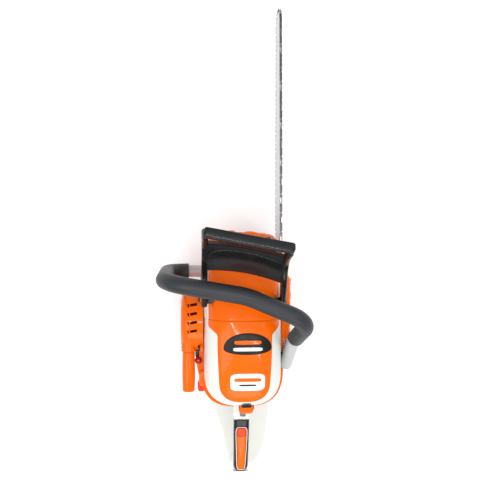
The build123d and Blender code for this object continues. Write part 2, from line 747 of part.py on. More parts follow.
def make_housing():
    """Lower engine housing: pan, side walls, bar pad and the rim that carries the covers."""
    plan = [(-body_x, housing_rear), (-body_x, pan_front - 14), (-body_x + 14, pan_front),
            (body_x - 14, pan_front), (body_x, pan_front - 14), (body_x, housing_rear)]
    shell = flat_plate(plan, 0, housing_top, 6)
    inside = [(-body_x + 3, housing_rear + 3), (-body_x + 3, pan_front - 15),
              (-body_x + 15, pan_front - 3), (housing_wall_x - 12, pan_front - 3),
              (housing_wall_x, pan_front - 14), (housing_wall_x, housing_rear + 3)]
    shell -= flat_plate(inside, 4, housing_top + 1, 5)
    rim = flat_plate(rear_outline(0), rim_z, housing_top, 20)
    rim -= flat_plate(rear_outline(-wall), rim_z - 1, housing_top + 1, 18)
    shell += rim & block(-100, 100, -200, -55.5, 0, 200)
    shell -= rod_x(49, -90, -40)
    shell -= rod_x(drum_r + 6, 40, 90)
    pad_y0 = crank_y + drum_r + 2
    shell += block(housing_wall_x - 1, pad_x, pad_y0, pan_front - 8, crank_z - 24, crank_z + 9.9)
    shell += block(-case_half + 4, case_half - 4, crank_y - 44, crank_y + 40, 3.9, case_bottom)
    shell -= rod_x(cap_r - 4, -body_x - 1, -body_x + 3.5, oil_cap_y, oil_cap_z)
    for y in stud_y:
        shell -= rod_x(stud_r, 40, 100, y)
    z = crank_z - tension_drop
    shell -= rod_y(3, 40, 140, pad_x - 5, z) + rod_y(4.5, 111, 140, pad_x - 5, z)
    shell -= block(-15, 15, -140, -110, rim_z - 1, housing_top + 1)
    return shell - block(pad_x - 8, pad_x + 1, pad_y0 - 1, stud_y[0] + 14, z - 5, z + 5)


def rear_outline(grow):
    """Plan of the covers' rear half, from the housing's shoulder round to the other side."""
    x, rear = body_x + grow, body_rear - 7 - grow
    return [(-x, 0), (-x, -74), (-x + 22, rear + 8), (-x + 38, rear), (x - 38, rear),
            (x - 22, rear + 8), (x, -74), (x, 0)]


def handle_side(grow=0.0):
    """Side view of the rear handle's bar, from the tank back to the tail."""
    g = grow
    return [(-118, 60 - g), (-118, 112 + g), (-150, 118 + g), (-215, 104 + g),
            (tail_y - 2 - g, 88 + g), (tail_y - 8 - g, 70), (tail_y - g, 58 - g), (-215, 76 - g),
            (-158, 88 - g), (-144, 66 - g)]


def make_tank():
    """Fuel tank, rear handle and its wide foot plate, one white moulding."""
    tank = block(-tank_x, tank_x, -122, tank_front, 6, tank_top)
    tank = fillet(tank.edges().filter_by(Axis.Z), 16)
    tank -= block(-tank_x + 4, tank_x - 4, -117, tank_front - 4, 10, tank_top - 4)
    bar = side_plate(handle_side(), -rear_handle_half, rear_handle_half, 7)
    bar = fillet(bar.edges().filter_by(Axis.X, reverse=True).sort_by(Axis.X)[-12:], 2)
    tank += bar - block(-60, 60, -117, 0, 0, 200)
    tank += flat_plate([(-52, -120), (-50, -150), (-30, -200), (-18, tail_y), (-8, tail_y - 8),
                        (24, tail_y - 8), (36, tail_y), (50, -230), (58, -165), (56, -120)],
                       3, guard_plate_z, 5)
    tank += side_plate([(tail_y + 14, 8), (tail_y + 10, 70), (tail_y - 6, 74), (tail_y - 8, 8)],
                       -rear_handle_half + 2, rear_handle_half - 2, 4)
    hollow = side_plate(handle_side(-4), -insert_slot, insert_slot, 4)
    tank -= hollow & block(-20, 20, -200, -140, 0, 200)
    tank -= block(-insert_slot, insert_slot, -196, -152, 40, 98)
    tank -= insert_solid(0.0)
    tank -= rod_x(cap_r - 4, -tank_x - 1, -tank_x + 6, fuel_cap_y, fuel_cap_z)
    return tank


def handle_top(y):
    """Height of the rear handle's top line."""
    return 118 + (y + 150) * 14 / 65 if y > -215 else 104 + (y + 215) * 16 / 49


def insert_solid(drop):
    """Black insert along the top of the rear handle."""
    top = [(insert_y1, handle_top(insert_y1) + 3 - drop), (-215, 107 - drop),
           (insert_y0, handle_top(insert_y0) + 3 - drop), (insert_y0, handle_top(insert_y0) - 8),
           (-215, 95), (insert_y1, handle_top(insert_y1) - 11)]
    return side_plate(top, -rear_handle_half - 1, rear_handle_half + 1, 2)


lock_y0 = -250.0
lock_y1 = -172.0
lock_pivot_y = -178.0
lock_pivot_z = 108.0


def lock_form(grow):
    """Throttle lock lever; grown, the slot that it moves in."""
    lever = flat_plate([(-8.5 - grow, lock_y1 + grow), (-5.5 - grow, lock_y0 - grow),
                        (5.5 + grow, lock_y0 - grow), (8.5 + grow, lock_y1 + grow)], 60, 140, 2)
    low, high = (-7.5, 0.0) if grow else (0.6, 7.0)
    slab = [(lock_y1 + 1, handle_top(lock_y1) + high), (-215, 104 + high),
            (lock_y0 - 1, handle_top(lock_y0) + high), (lock_y0 - 1, handle_top(lock_y0) + low),
            (-215, 104 + low), (lock_y1 + 1, handle_top(lock_y1) + low)]
    return lever & side_plate(slab, -20, 20, 0.5)


def make_lock():
    """Throttle lock: long orange lever with a pivot lug at its front."""
    lug = rod_x(3.2, -7, 7, lock_pivot_y, lock_pivot_z)
    lug += block(-4, 4, lock_pivot_y - 3.2, lock_pivot_y + 3.2, lock_pivot_z,
                 handle_top(lock_pivot_y) + 3)
    return lock_form(0.0) + lug


def make_insert():
    """Insert with the slot and pivot bore for the throttle lock."""
    slot = flat_plate([(-9.5, lock_y1 + 1), (-6.5, lock_y0 - 1), (6.5, lock_y0 - 1), (9.5, lock_y1 + 1)],
                      60, 140, 2)
    return insert_solid(0.0) - (slot & lock_sweep())


def lock_sweep():
    """Space that the lever sinks into as it is pressed."""
    return side_plate([(lock_y1 + 2, 140), (lock_y1 + 2, 104), (-215, 96.5), (lock_y0 - 2, 86.5),
                       (lock_y0 - 2, 140)], -20, 20, 0.5)


trigger_pivot = (-160.0, 93.0)


def make_trigger():
    """Throttle trigger under the rear handle."""
    y, z = trigger_pivot
    blade = side_plate([(y + 4, z + 4), (y - 6, z + 4), (y - 30, z - 8), (y - 26, z - 30),
                        (y - 20, z - 34), (y - 12, z - 26), (y - 4, z - 8), (y + 4, z - 5)], -5, 5, 2)
    return blade + rod_x(2.5, -insert_slot + 0.3, insert_slot - 0.3, y, z)


def make_throttle_rod():
    """Rod from the trigger forwards to the carburettor."""
    return rod_y(1.2, throttle_rod_rear, butterfly_y + 2, rod_x_place, lever_z)


def make_knob():
    """Choke knob that pulls out to the rear."""
    knob = rod_y(knob_r, -148, -114, knob_x, knob_z)
    return fillet(knob.edges().sort_by(Axis.Y)[0], 1.2)


def make_cap(x0, x1, y, z):
    """Screw cap with a grip bar across its face."""
    cap = rod_x(cap_r, x0, x0 + 4, y, z) + rod_x(cap_r - 4.4, x0, x1, y, z)
    return cap + block(x0 - 3, x0 + 1, y - 2.4, y + 2.4, z - cap_r + 3, z + cap_r - 3)


# ---- covers ----------------------------------------------------------------------------------
panel_half = 42.0
latch_x = 2.5
latch_half = 10.0
latch_pin_r = 1.6
latch_pin_z = 136.0
boss_r = 5.0
boss_x = -54.0


def cover_form(grow, y0=body_rear, y1=cover_front):
    """Outer form of the covers: a flat-topped arch with sloping flanks."""
    g = grow
    x, top = body_x + g, cover_top + g
    arch = [(-x, housing_top - 30), (-x, 150), (-x + 9, 176), (-panel_half - g, top - 3),
            (-panel_half / 2, top), (panel_half / 2, top), (panel_half + g, top - 3), (x - 9, 176),
            (x, 150), (x, housing_top - 30)]
    return cross_plate(arch, y0 - g, y1, 9)


def rear_form(grow):
    """Cover form with its rounded rear and the fall towards the handle."""
    g = grow
    side = [(body_rear - g, housing_top - 40), (body_rear - g, 152), (body_rear + 9, 176 + g),
            (-80, 193 + g), (-20, cover_top + g), (8, cover_top + g), (cover_front + 40, 186 + g),
            (cover_front + 40, housing_top - 40)]
    form = cover_form(g, body_rear, cover_front) & side_plate(side, -90, 90, 8)
    x, rear = body_x + g, body_rear - g
    plan = [(-x, 60), (-x, -74), (-x + 22, rear + 8), (-x + 38, rear), (x - 38, rear),
            (x - 22, rear + 8), (x, -74), (x, 60)]
    return form & flat_plate(plan, 0, 300, 20)


def make_cover():
    """White top cover, open below, notched for the handle and the choke knob, recessed for its latch."""
    cover = rear_form(0.0) - Pos(0, 1, 0) * rear_form(-wall)
    cover &= block(-100, 100, -200, cover_front, housing_top, 300)
    cover -= rod_y(knob_r + 1, -150, -100, knob_x, knob_z)
    cover -= block(knob_x - knob_r - 1, knob_x + knob_r + 1, -150, -100, housing_top - 1, knob_z)
    cover -= block(-rear_handle_half - 0.6, rear_handle_half + 0.6, -140, -110, 90, 118.5)
    cover -= rod_x(sprocket_r, 60, 70)
    recess = latch_half + 2
    return cover - block(latch_x - recess, latch_x + recess, -140, body_rear + 2, latch_pin_z - 4, 160)


def make_panel():
    """Orange raised panel on the middle of the top cover."""
    plan = [(-58, 26.5), (-58, 12), (-panel_half, 4), (-panel_half, -74), (-panel_half + 12, -104),
            (-panel_half + 26, -113), (panel_half - 26, -113), (panel_half - 12, -104),
            (panel_half, -74), (panel_half, 4), (58, 12), (58, 26.5)]
    return (rear_form(2.2) - rear_form(0.0)) & flat_plate(plan, 160, 260, 5)


def make_latch():
    """Latch tab on the cover's rear, on a pin along its lower edge."""
    tab = block(latch_x - latch_half, latch_x + latch_half, body_rear - 4, body_rear + 1,
                latch_pin_z - 2, 156)
    tab = fillet(tab.edges().filter_by(Axis.Y), 2)
    pin = latch_half + 1.6
    return tab + rod_x(latch_pin_r, latch_x - pin, latch_x + pin, body_rear - 1.5, latch_pin_z)


def shroud_form(grow, y0):
    """Front shroud: carries on from the cover, dives under the guard and covers the muffler."""
    g = grow
    side = [(y0, housing_top - 20), (y0, 193 + g), (62, 186 + g), (92, 172 + g),
            (140, 160 + g), (shroud_front - 10 + g, 152 + g), (shroud_front + g, 138 + g),
            (shroud_front + g, 104), (shroud_front - 8 + g, housing_top - 20)]
    form = cover_form(g, y0, shroud_front + g) & side_plate(side, -90, 90, 6)
    x = body_x + g
    plan = [(-x, 0), (-x, 100), (-x + 12, 140), (-40, shroud_front - 4 + g),
            (-30, shroud_front + g), (36, shroud_front + g), (48, shroud_front - 8 + g),
            (x - 10, 130), (x, 104), (x, 0)]
    return form & flat_plate(plan, 0, 300, 10)


def make_shroud():
    """Orange front shroud with cooling slots and the pivot bosses of the hand guard."""
    shroud = shroud_form(0.0, cover_front - 12) - shroud_form(-wall, cover_front - 20)
    shroud &= block(-100, 100, cover_front + 0.3, 200, housing_top, 300)
    for i in range(7):
        x = -30 + 10 * i
        shroud -= block(x - 2.6, x + 2.6, 155, 190, 112, 140)
    for x0, x1 in ((guard_left, boss_x), (-boss_x, guard_right)):
        shroud += rod_x(boss_r, x0, x1, guard_pivot_y, guard_pivot_z)
    return shroud - rod_x(sprocket_r, 60, 70)

# ---- hand guard and front handle -------------------------------------------------------------
def make_guard():
    """Hand guard: two arms, a curved web and a top bar, with a slot between web and bar."""
    span = guard_right - guard_left
    skew = Vector(span, -guard_skew, 0)
    half = guard_skew / 2
    web = [(98 + half, 208), (104 + half, 216), (122 + half, 226), (140 + half, 243),
           (147 + half, 241), (136 + half, 226), (120 + half, 212), (106 + half, 204)]
    bar = [(150 + half, 274), (150 + half, 287), (155 + half, guard_top), (162 + half, guard_top - 1),
           (164 + half, 276), (158 + half, 272)]
    plates = []
    for points, r in ((web, 2), (bar, 2)):
        face = Plane.YZ.offset(guard_left) * outline(points, r)
        plates.append(extrude(face, skew.length, dir=skew.normalized()))
    guard = plates[0] + plates[1]
    for x0, x1, shift in ((guard_left, guard_left + 7, half), (guard_right - 7, guard_right, -half)):
        arm = [(guard_pivot_y - 8, guard_pivot_z), (guard_pivot_y - 4, guard_pivot_z + 8),
               (92 + shift, 210), (122 + shift, 230), (146 + shift, 284), (152 + shift, guard_top - 2),
               (162 + shift, guard_top - 4), (160 + shift, 270), (146 + shift, 232),
               (118 + shift, 206), (guard_pivot_y + 8, guard_pivot_z - 2),
               (guard_pivot_y, guard_pivot_z - 8)]
        guard += side_plate(arm, x0, x1, 2.5)
    return guard - rod_x(boss_r + fit, -100, 100, guard_pivot_y, guard_pivot_z)


leg_y = 101.0
handle_low = (-131.0, leg_y, 50.0)
handle_left = (-131.0, 92.0, 236.0)
handle_mid = (0.0, 70.0, 240.0)
handle_right = (100.0, 27.0, 232.0)
handle_down = (85.6, -14.0, 150.0)
handle_foot = (78.2, -62.0, 108.0)
handle_bends = (34, 46, 120, 34, 60)


def handle_line(start, end):
    """Centre line of the front handle, from a start point on its lower leg to its end."""
    corners = [start, handle_low, handle_left, handle_mid, handle_right]
    corners += [handle_down, end] if end == handle_foot else [end]
    return FilletPolyline(*corners, radius=handle_bends[:len(corners) - 2])


def sweep_ring(path, outer, inner):
    """Tube of two radii along a path."""
    start = Plane(path @ 0, z_dir=path % 0)
    return sweep(start * Circle(outer), path=path) - sweep(start * Circle(inner), path=path)


def make_handle_tube():
    """Bent steel tube of the front handle."""
    line = handle_line((-body_x - 1, leg_y, handle_low[2]), handle_foot)
    return sweep_ring(line, tube_r, tube_r - tube_wall)


def make_handle_bracket():
    """Black clamp block on the housing's right side that holds the tube's foot."""
    x, y, z = handle_foot
    body = fillet(block(body_x + 0.4, x + 2, y - 6, y + 22, z - 22, z + 4).edges().filter_by(Axis.X), 4)
    line = handle_line((-body_x - 1, leg_y, handle_low[2]), handle_foot)
    return body - sweep(Plane(line @ 0, z_dir=line % 0) * Circle(tube_r), path=line)


def make_handle_grip():
    """Rubber sleeve over most of the tube."""
    end = Vector(*handle_down) + (Vector(*handle_right) - Vector(*handle_down)) * 0.16
    start = (handle_low[0] + 38, leg_y, handle_low[2])
    return sweep_ring(handle_line(start, end), handle_grip_r, tube_r + fit)


# ---- mounts, lines and screws ----------------------------------------------------------------
wire_r = 1.2


def make_springs():
    """Three antivibration springs between the engine and the tank."""
    springs = []
    for x, z in ((-30, 30), (30, 30), (0, 62)):
        height = housing_rear - tank_front - 2 * (wire_r + 0.2)
        line = Helix(pitch=4.5, height=height, radius=8, center=(0, 0, 0))
        coil = sweep(Plane(line @ 0, z_dir=line % 0) * Circle(wire_r), path=line)
        springs.append(Pos(x, tank_front + wire_r + 0.2, z) * Rot(-90, 0, 0) * coil)
    return springs


def make_fuel_line():
    """Pick-up hose with its filter in the tank."""
    path = FilletPolyline((10, -98, 30), (10, -98, 62), (10, tank_front - 6, 70), radius=6)
    hose = sweep(Plane(path @ 0, z_dir=path % 0) * Circle(2.5), path=path)
    return hose, rod_z(6, 12, 29.8, 10, -98)


def make_screws():
    """Socket screws that hold the starter housing."""
    heads = [rod_x(4.5, lug_x - 4, lug_x, y, z) - rod_x(2, lug_x - 5, lug_x - 2, y, z)
             for y, z in lug_places]
    return [head + rod_x(2.5, lug_x, -body_x - 1.2, y, z) for head, (y, z) in zip(heads, lug_places)]


# ---- build -----------------------------------------------------------------------------------
os.makedirs("parts", exist_ok=True)
save("crankcase", make_crankcase())
save("cylinder", make_cylinder())
save("piston", make_piston())
save("piston_rings", make_rings())
save("piston_pin", rod_x(wrist_r - 0.01, -19, 19, crank_y, wrist_z))
save("connecting_rod", make_rod())
save("crankshaft", make_crankshaft())
save("main_bearings", make_bearings())
save("flywheel", make_flywheel())
save("ignition_coil", make_ignition_coil())
save("ignition_lead", make_ignition_lead())
save("spark_plug", make_spark_plug())
save("plug_boot", make_plug_boot())
save("intake_boot", make_manifold())
save("carburettor", make_carburettor())
save("throttle_butterfly", make_butterfly())
save("air_filter", make_air_filter())
save("muffler", make_muffler())
save("starter_housing", make_starter_housing())
save("starter_pulley", make_pulley())
save("recoil_spring", make_recoil_spring())
save("starter_rope", make_rope())
save("starter_grip", make_starter_grip())
save("clutch_hub", make_clutch_hub())
save("clutch_drum", make_drum())
save("clutch_bearing", make_needle_bearing())
save("brake_band", make_brake_band())
save("oil_pump", make_oil_pump())
drives, straps, cutters, rivets = make_chain()
save("chain_drive_links", *drives)
save("chain_tie_straps", *straps)
save("chain_cutters", *cutters)
save("chain_rivets", *rivets)
save("guide_bar", make_bar())
save("nose_sprocket", make_nose_sprocket())
save("sprocket_cover", make_sprocket_cover())
save("bar_studs", *make_studs())
save("bar_nuts", *make_nuts())
save("chain_tensioner", *make_tensioner())
save("bumper_spikes", make_spikes())
save("chain_catcher", make_catcher())
save("engine_housing", make_housing())
save("tank_housing", make_tank())
save("handle_insert", make_insert())
save("throttle_lock", make_lock())
save("throttle_trigger", make_trigger())
save("throttle_rod", make_throttle_rod())
save("choke_knob", make_knob())
save("fuel_cap", make_cap(-tank_x - 4.3, -tank_x + 3, fuel_cap_y, fuel_cap_z))
save("oil_cap", make_cap(-body_x - 4.3, -body_x + 2.5, oil_cap_y, oil_cap_z))
save("top_cover", make_cover())
save("cover_panel", make_panel())
save("cover_latch", make_latch())
save("front_shroud", make_shroud())
save("hand_guard", make_guard())
save("front_handle_tube", make_handle_tube())
save("front_handle_grip", make_handle_grip())
save("handle_bracket", make_handle_bracket())
save("antivibration_springs", *make_springs())
save("fuel_pickup", *make_fuel_line())
save("starter_screws", *make_screws())
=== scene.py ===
import math

import bpy
import numpy as np
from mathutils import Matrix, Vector


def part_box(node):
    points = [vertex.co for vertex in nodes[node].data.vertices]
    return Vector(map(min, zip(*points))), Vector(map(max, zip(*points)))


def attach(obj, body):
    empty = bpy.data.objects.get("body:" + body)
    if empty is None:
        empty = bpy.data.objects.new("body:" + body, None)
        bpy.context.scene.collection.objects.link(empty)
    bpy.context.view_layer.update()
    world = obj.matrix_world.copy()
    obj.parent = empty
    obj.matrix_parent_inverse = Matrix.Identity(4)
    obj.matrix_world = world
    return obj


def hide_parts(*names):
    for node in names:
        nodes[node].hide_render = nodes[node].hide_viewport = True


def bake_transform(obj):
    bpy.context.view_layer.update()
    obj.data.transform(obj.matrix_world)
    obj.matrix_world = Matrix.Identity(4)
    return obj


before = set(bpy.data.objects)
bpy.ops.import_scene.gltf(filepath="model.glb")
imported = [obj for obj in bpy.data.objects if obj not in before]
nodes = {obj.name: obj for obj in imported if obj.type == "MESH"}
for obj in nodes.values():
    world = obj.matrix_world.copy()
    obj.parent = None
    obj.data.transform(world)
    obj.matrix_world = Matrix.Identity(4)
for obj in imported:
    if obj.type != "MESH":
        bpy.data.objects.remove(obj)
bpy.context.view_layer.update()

mm = 0.001


# ---- the floor, the light and the camera -----------------------------------------------------
# The saw stands on a plain white sheet under four soft lamps: a key on the left, a fill on the
# right, one behind, and a narrow strip overhead that draws the long glints on the covers.
# It is seen from above and a little from its left, with the camera turned four degrees.
class Sock:
    """A shader socket or number; arithmetic on it adds Math nodes."""

    def __init__(self, tree, out):
        self.tree = tree
        self.out = out

    def math(self, operation, other):
        """Math node on this value and another."""
        return self.tree.node("ShaderNodeMath", {"operation": operation}, {0: self, 1: other})

    def __add__(self, other):
        return self.math("ADD", other)

    def __mul__(self, other):
        return self.math("MULTIPLY", other)

    __radd__ = __add__
    __rmul__ = __mul__


class Finish:
    """A node material: node() adds any node, the other methods are its common patterns."""

    def __init__(self, name, colour, **constants):
        self.material = bpy.data.materials.new(name)
        self.material.use_nodes = True
        self.tree = self.material.node_tree
        self.shader = self.tree.nodes["Principled BSDF"]
        self.material.diffuse_color = (*colour, 1.0)
        self.feed("Base Color", (*colour, 1.0))
        for socket, value in constants.items():
            self.feed(socket.replace("_", " "), value)
        self.place = self.node("ShaderNodeTexCoord", {}, {}, "Object")

    def node(self, kind, settings, inputs, output=0):
        """Adds a node: its settings first, then the values or links of its sockets."""
        new = self.tree.nodes.new(kind)
        for key, value in settings.items():
            setattr(new, key, value)
        for key, value in inputs.items():
            self.link(new.inputs[key], value)
        return Sock(self, new.outputs[output])

    def link(self, socket, value):
        if isinstance(value, Sock):
            self.tree.links.new(value.out, socket)
        else:
            socket.default_value = value

    def feed(self, socket, value):
        self.link(self.shader.inputs[socket], value)

    def noise(self, size, detail=3.0, place=None, rough=0.5):
        """Noise in 0..1 whose features are about size metres across."""
        return self.node("ShaderNodeTexNoise", {}, {"Vector": place or self.place, "Scale": 1 / size,
                                                    "Detail": detail, "Roughness": rough})

    def ramp(self, value, low, high, from_grey=0.0, to_grey=1.0):
        """Stretches low..high to from_grey..to_grey, and holds it there beyond."""
        return self.node("ShaderNodeMapRange", {"clamp": True},
                         {"Value": value, "From Min": low, "From Max": high,
                          "To Min": from_grey, "To Max": to_grey})

    def mix(self, mask, first, second):
        """Colour mix; the colours are triples or sockets."""
        ends = [value if isinstance(value, Sock) else (*value, 1.0) for value in (first, second)]
        return self.node("ShaderNodeMix", {"data_type": "RGBA"},
                         {"Factor": mask, 6: ends[0], 7: ends[1]}, 2)

    def bump(self, height, distance, strength):
        """Relief of a height in 0..1 times a distance in metres."""
        self.feed("Normal", self.node("ShaderNodeBump", {}, {"Height": height, "Distance": distance,
                                                             "Strength": strength}))

    def paint(self, *objects):
        """Makes this the only material of each object."""
        for piece in objects:
            piece.data.materials.clear()
            piece.data.materials.append(self.material)
        return self


def floor_mesh(name, half, z):
    """Flat square sheet of one face, with its middle under the origin."""
    data = bpy.data.meshes.new(name)
    data.from_pydata([(-half, -half, z), (half, -half, z), (half, half, z), (-half, half, z)], [],
                     [(0, 1, 2, 3)])
    piece = bpy.data.objects.new(name, data)
    bpy.context.scene.collection.objects.link(piece)
    return piece


floor = floor_mesh("floor", 6.0, -0.0005)
Finish("studio_sheet", (0.72, 0.72, 0.72), Roughness=0.9, Emission_Color=(1, 1, 1, 1),
       Emission_Strength=0.34).paint(floor)


def lamp(name, place, aim, size, power):
    """Rectangular soft lamp at a place, turned to shine at a point."""
    light = bpy.data.lights.new(name, "AREA")
    light.shape = "RECTANGLE"
    light.size, light.size_y = size
    light.energy = power
    piece = bpy.data.objects.new(name, light)
    piece.location = place
    piece.rotation_euler = (Vector(aim) - Vector(place)).to_track_quat("-Z", "Y").to_euler()
    bpy.context.scene.collection.objects.link(piece)
    return piece


lamp("key_lamp", (-1.0, -0.3, 1.9), (0, 0.05, 0.1), (0.9, 1.4), 13.5)
lamp("fill_lamp", (1.2, 0.8, 1.7), (0, 0.1, 0.1), (1.2, 1.2), 6)
lamp("rear_lamp", (0.05, -1.4, 1.3), (0, 0.08, 0.18), (1.2, 0.6), 9)
lamp("strip_lamp", (0.16, -0.05, 1.95), (0.02, 0.05, 0.1), (0.04, 1.3), 9)
world = bpy.data.worlds.new("studio")
world.use_nodes = True
world.node_tree.nodes["Background"].inputs["Color"].default_value = (1, 1, 1, 1)
world.node_tree.nodes["Background"].inputs["Strength"].default_value = 0.68
bpy.context.scene.world = world
bpy.context.scene.view_settings.view_transform = "Standard"

camera_data = bpy.data.cameras.new("camera")
camera_data.sensor_width = 36.0
camera_data.lens = 48.0
camera = bpy.data.objects.new("camera", camera_data)
camera.location = (-0.0811, 0.1583, 1.235)
camera.rotation_euler = (0, -math.radians(4), 0)
bpy.context.scene.collection.objects.link(camera)
bpy.context.scene.camera = camera

# ---- moulded plastics ------------------------------------------------------------------------
# The casings are injection-moulded plastic: orange and light grey with a gloss skin and faint
# flow marks, and black with a fine spark-eroded grain on what the hands touch.


def plastic(name, colour, shade, roughness, grain, coat=0.0, gleam=0.5):
    """Moulded plastic: slight mottling in colour, handling haze in gloss, fine grain in bump."""
    finish = Finish(name, colour, Coat_Weight=coat, Coat_Roughness=0.08, Specular_IOR_Level=gleam)
    cloud = finish.noise(0.06, 2.0)
    handling = finish.noise(0.02, 4.0)
    scuffs = finish.noise(0.0025, 3.0)
    worn = finish.ramp(handling * 0.6 + scuffs * 0.4, 0.42, 0.66)
    finish.feed("Base Color", finish.mix(finish.ramp(cloud, 0.3, 0.75, 0.0, 0.3), colour, shade))
    finish.feed("Roughness", roughness - 0.03 + 0.1 * worn)
    finish.bump(finish.noise(grain, 2.0), grain * 0.06, 0.3)
    return finish


orange = plastic("orange_plastic", (0.90, 0.135, 0.0), (0.80, 0.092, 0.0), 0.25, 0.0006, 0.25, 0.08)
deep_orange = plastic("deep_orange_plastic", (0.80, 0.045, 0.0), (0.66, 0.03, 0.0), 0.34, 0.0006, 0.2, 0.15)
red = plastic("red_plastic", (0.40, 0.006, 0.002), (0.3, 0.004, 0.002), 0.3, 0.0006, 0.3, 0.2)
white = plastic("white_plastic", (0.76, 0.775, 0.73), (0.68, 0.70, 0.66), 0.34, 0.0007, 0.15, 0.3)
black = plastic("black_plastic", (0.006, 0.007, 0.008), (0.012, 0.013, 0.014), 0.27, 0.0009, 0.2, 0.25)
grey = plastic("grey_plastic", (0.16, 0.16, 0.165), (0.1, 0.1, 0.105), 0.4, 0.0008)
rubber = plastic("grip_rubber", (0.022, 0.025, 0.029), (0.038, 0.042, 0.046), 0.46, 0.0008, 0.0, 0.35)
soft_black = plastic("black_rubber", (0.015, 0.015, 0.015), (0.03, 0.03, 0.03), 0.6, 0.0006)

orange.paint(*(nodes[n] for n in ("starter_housing", "starter_grip", "sprocket_cover", "engine_housing",
                                  "throttle_lock", "cover_panel", "cover_latch", "front_shroud")))
white.paint(*(nodes[n] for n in ("tank_housing", "top_cover")))
black.paint(*(nodes[n] for n in ("hand_guard", "handle_insert", "handle_bracket", "throttle_trigger",
                                 "fuel_cap", "oil_cap", "ignition_coil", "starter_pulley", "oil_pump")))
grey.paint(nodes["choke_knob"])
rubber.paint(nodes["front_handle_grip"])
soft_black.paint(*(nodes[n] for n in ("ignition_lead", "plug_boot", "intake_boot", "fuel_pickup")))

# ---- metals ----------------------------------------------------------------------------------
# Cast aluminium engine parts, turned steel inside, the bar ground lengthwise, the chain dark
# with oil and bright only at the cutters, and black-oxide screws and springs.


def metal(name, colour, dark, roughness, size, stretch=(1, 1, 1), bump=0.00004):
    """Metal with uneven gloss; stretch draws the marks out along an axis, as grinding does."""
    finish = Finish(name, colour, Metallic=1.0)
    place = finish.node("ShaderNodeMapping", {}, {"Vector": finish.place, "Scale": stretch})
    marks = finish.noise(size, 4.0, place, 0.6)
    stain = finish.noise(0.03, 3.0)
    finish.feed("Base Color", finish.mix(finish.ramp(stain, 0.4, 0.8, 0.0, 0.6), colour, dark))
    finish.feed("Roughness", finish.ramp(marks, 0.3, 0.7, roughness - 0.08, roughness + 0.12))
    finish.bump(marks, bump, 0.5)
    return finish


cast = metal("cast_aluminium", (0.52, 0.53, 0.54), (0.4, 0.41, 0.42), 0.5, 0.0012, bump=0.0002)
turned = metal("machined_aluminium", (0.7, 0.7, 0.72), (0.6, 0.6, 0.62), 0.3, 0.0006)
steel = metal("bright_steel", (0.6, 0.6, 0.62), (0.45, 0.45, 0.46), 0.28, 0.0006)
bar_steel = metal("bar_steel", (0.62, 0.63, 0.64), (0.5, 0.51, 0.52), 0.34, 0.0005, (1, 0.06, 1))
chain_steel = metal("chain_steel", (0.16, 0.16, 0.17), (0.07, 0.07, 0.075), 0.36, 0.0008)
cutter_steel = metal("cutter_steel", (0.42, 0.42, 0.44), (0.2, 0.2, 0.21), 0.24, 0.0008)
dark_steel = metal("dark_steel", (0.05, 0.05, 0.055), (0.09, 0.08, 0.075), 0.42, 0.0008)
hot_steel = metal("muffler_steel", (0.33, 0.29, 0.26), (0.16, 0.12, 0.10), 0.45, 0.002)
tube_paint = metal("handle_paint", (0.50, 0.50, 0.51), (0.40, 0.40, 0.41), 0.34, 0.001)
tube_paint.feed("Metallic", 0.0)

cast.paint(*(nodes[n] for n in ("crankcase", "cylinder", "flywheel", "chain_catcher")))
turned.paint(*(nodes[n] for n in ("piston", "carburettor")))
steel.paint(*(nodes[n] for n in ("piston_rings", "piston_pin", "connecting_rod", "crankshaft",
                                 "main_bearings", "throttle_butterfly", "throttle_rod", "recoil_spring",
                                 "clutch_hub", "clutch_bearing", "brake_band", "nose_sprocket",
                                 "bar_studs", "bar_nuts", "chain_tensioner")))
bar_steel.paint(nodes["guide_bar"])
chain_steel.paint(*(nodes[n] for n in ("chain_drive_links", "chain_tie_straps", "chain_rivets")))
cutter_steel.paint(nodes["chain_cutters"])
dark_steel.paint(*(nodes[n] for n in ("clutch_drum", "bumper_spikes", "antivibration_springs",
                                      "starter_screws")))
hot_steel.paint(nodes["muffler"])
tube_paint.paint(nodes["front_handle_tube"])

# ---- felt, rope and porcelain ----------------------------------------------------------------
# The filter is flocked mesh, the starter rope is braided nylon and the plug is glazed ceramic.
plastic("filter_felt", (0.72, 0.68, 0.58), (0.6, 0.56, 0.46), 0.85, 0.0012).paint(nodes["air_filter"])
braid = plastic("rope_fibre", (0.6, 0.6, 0.58), (0.35, 0.35, 0.34), 0.8, 0.0012).paint(nodes["starter_rope"])
plastic("glazed_ceramic", (0.8, 0.8, 0.78), (0.7, 0.7, 0.68), 0.2, 0.002).paint(nodes["spark_plug"])

# ---- top cover -------------------------------------------------------------------------------
# The light grey shell over the filter and plug, one moulding that lifts off. An orange panel is
# pressed on its flat top, and a latch tab at the rear holds it down.
cover_low, cover_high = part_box("top_cover")
seam_y = cover_high.y
cover_rear = cover_low.y
half_width = cover_high.x
skirt_z = cover_low.z
crown_z = cover_high.z
arch_power = 3.4
shell_wall = 2.4 * mm
rear_round, rear_power = 60 * mm, 2.8
rear_slope, rear_fall, rear_drop = 95 * mm, 20 * mm, 26 * mm
front_slope, front_fall = 90 * mm, 14 * mm


def put_mesh(name, points, faces, material, body, smooth=True):
    """Makes the object of a point array and a face array, paints it and lets it ride on a body."""
    data = bpy.data.meshes.new(name)
    data.from_pydata(points.reshape(-1, 3).tolist(), [], faces)
    data.polygons.foreach_set("use_smooth", [smooth] * len(data.polygons))
    data.materials.append(material.material)
    piece = bpy.data.objects.new(name, data)
    bpy.context.scene.collection.objects.link(piece)
    if body:
        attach(piece, body)
    return piece


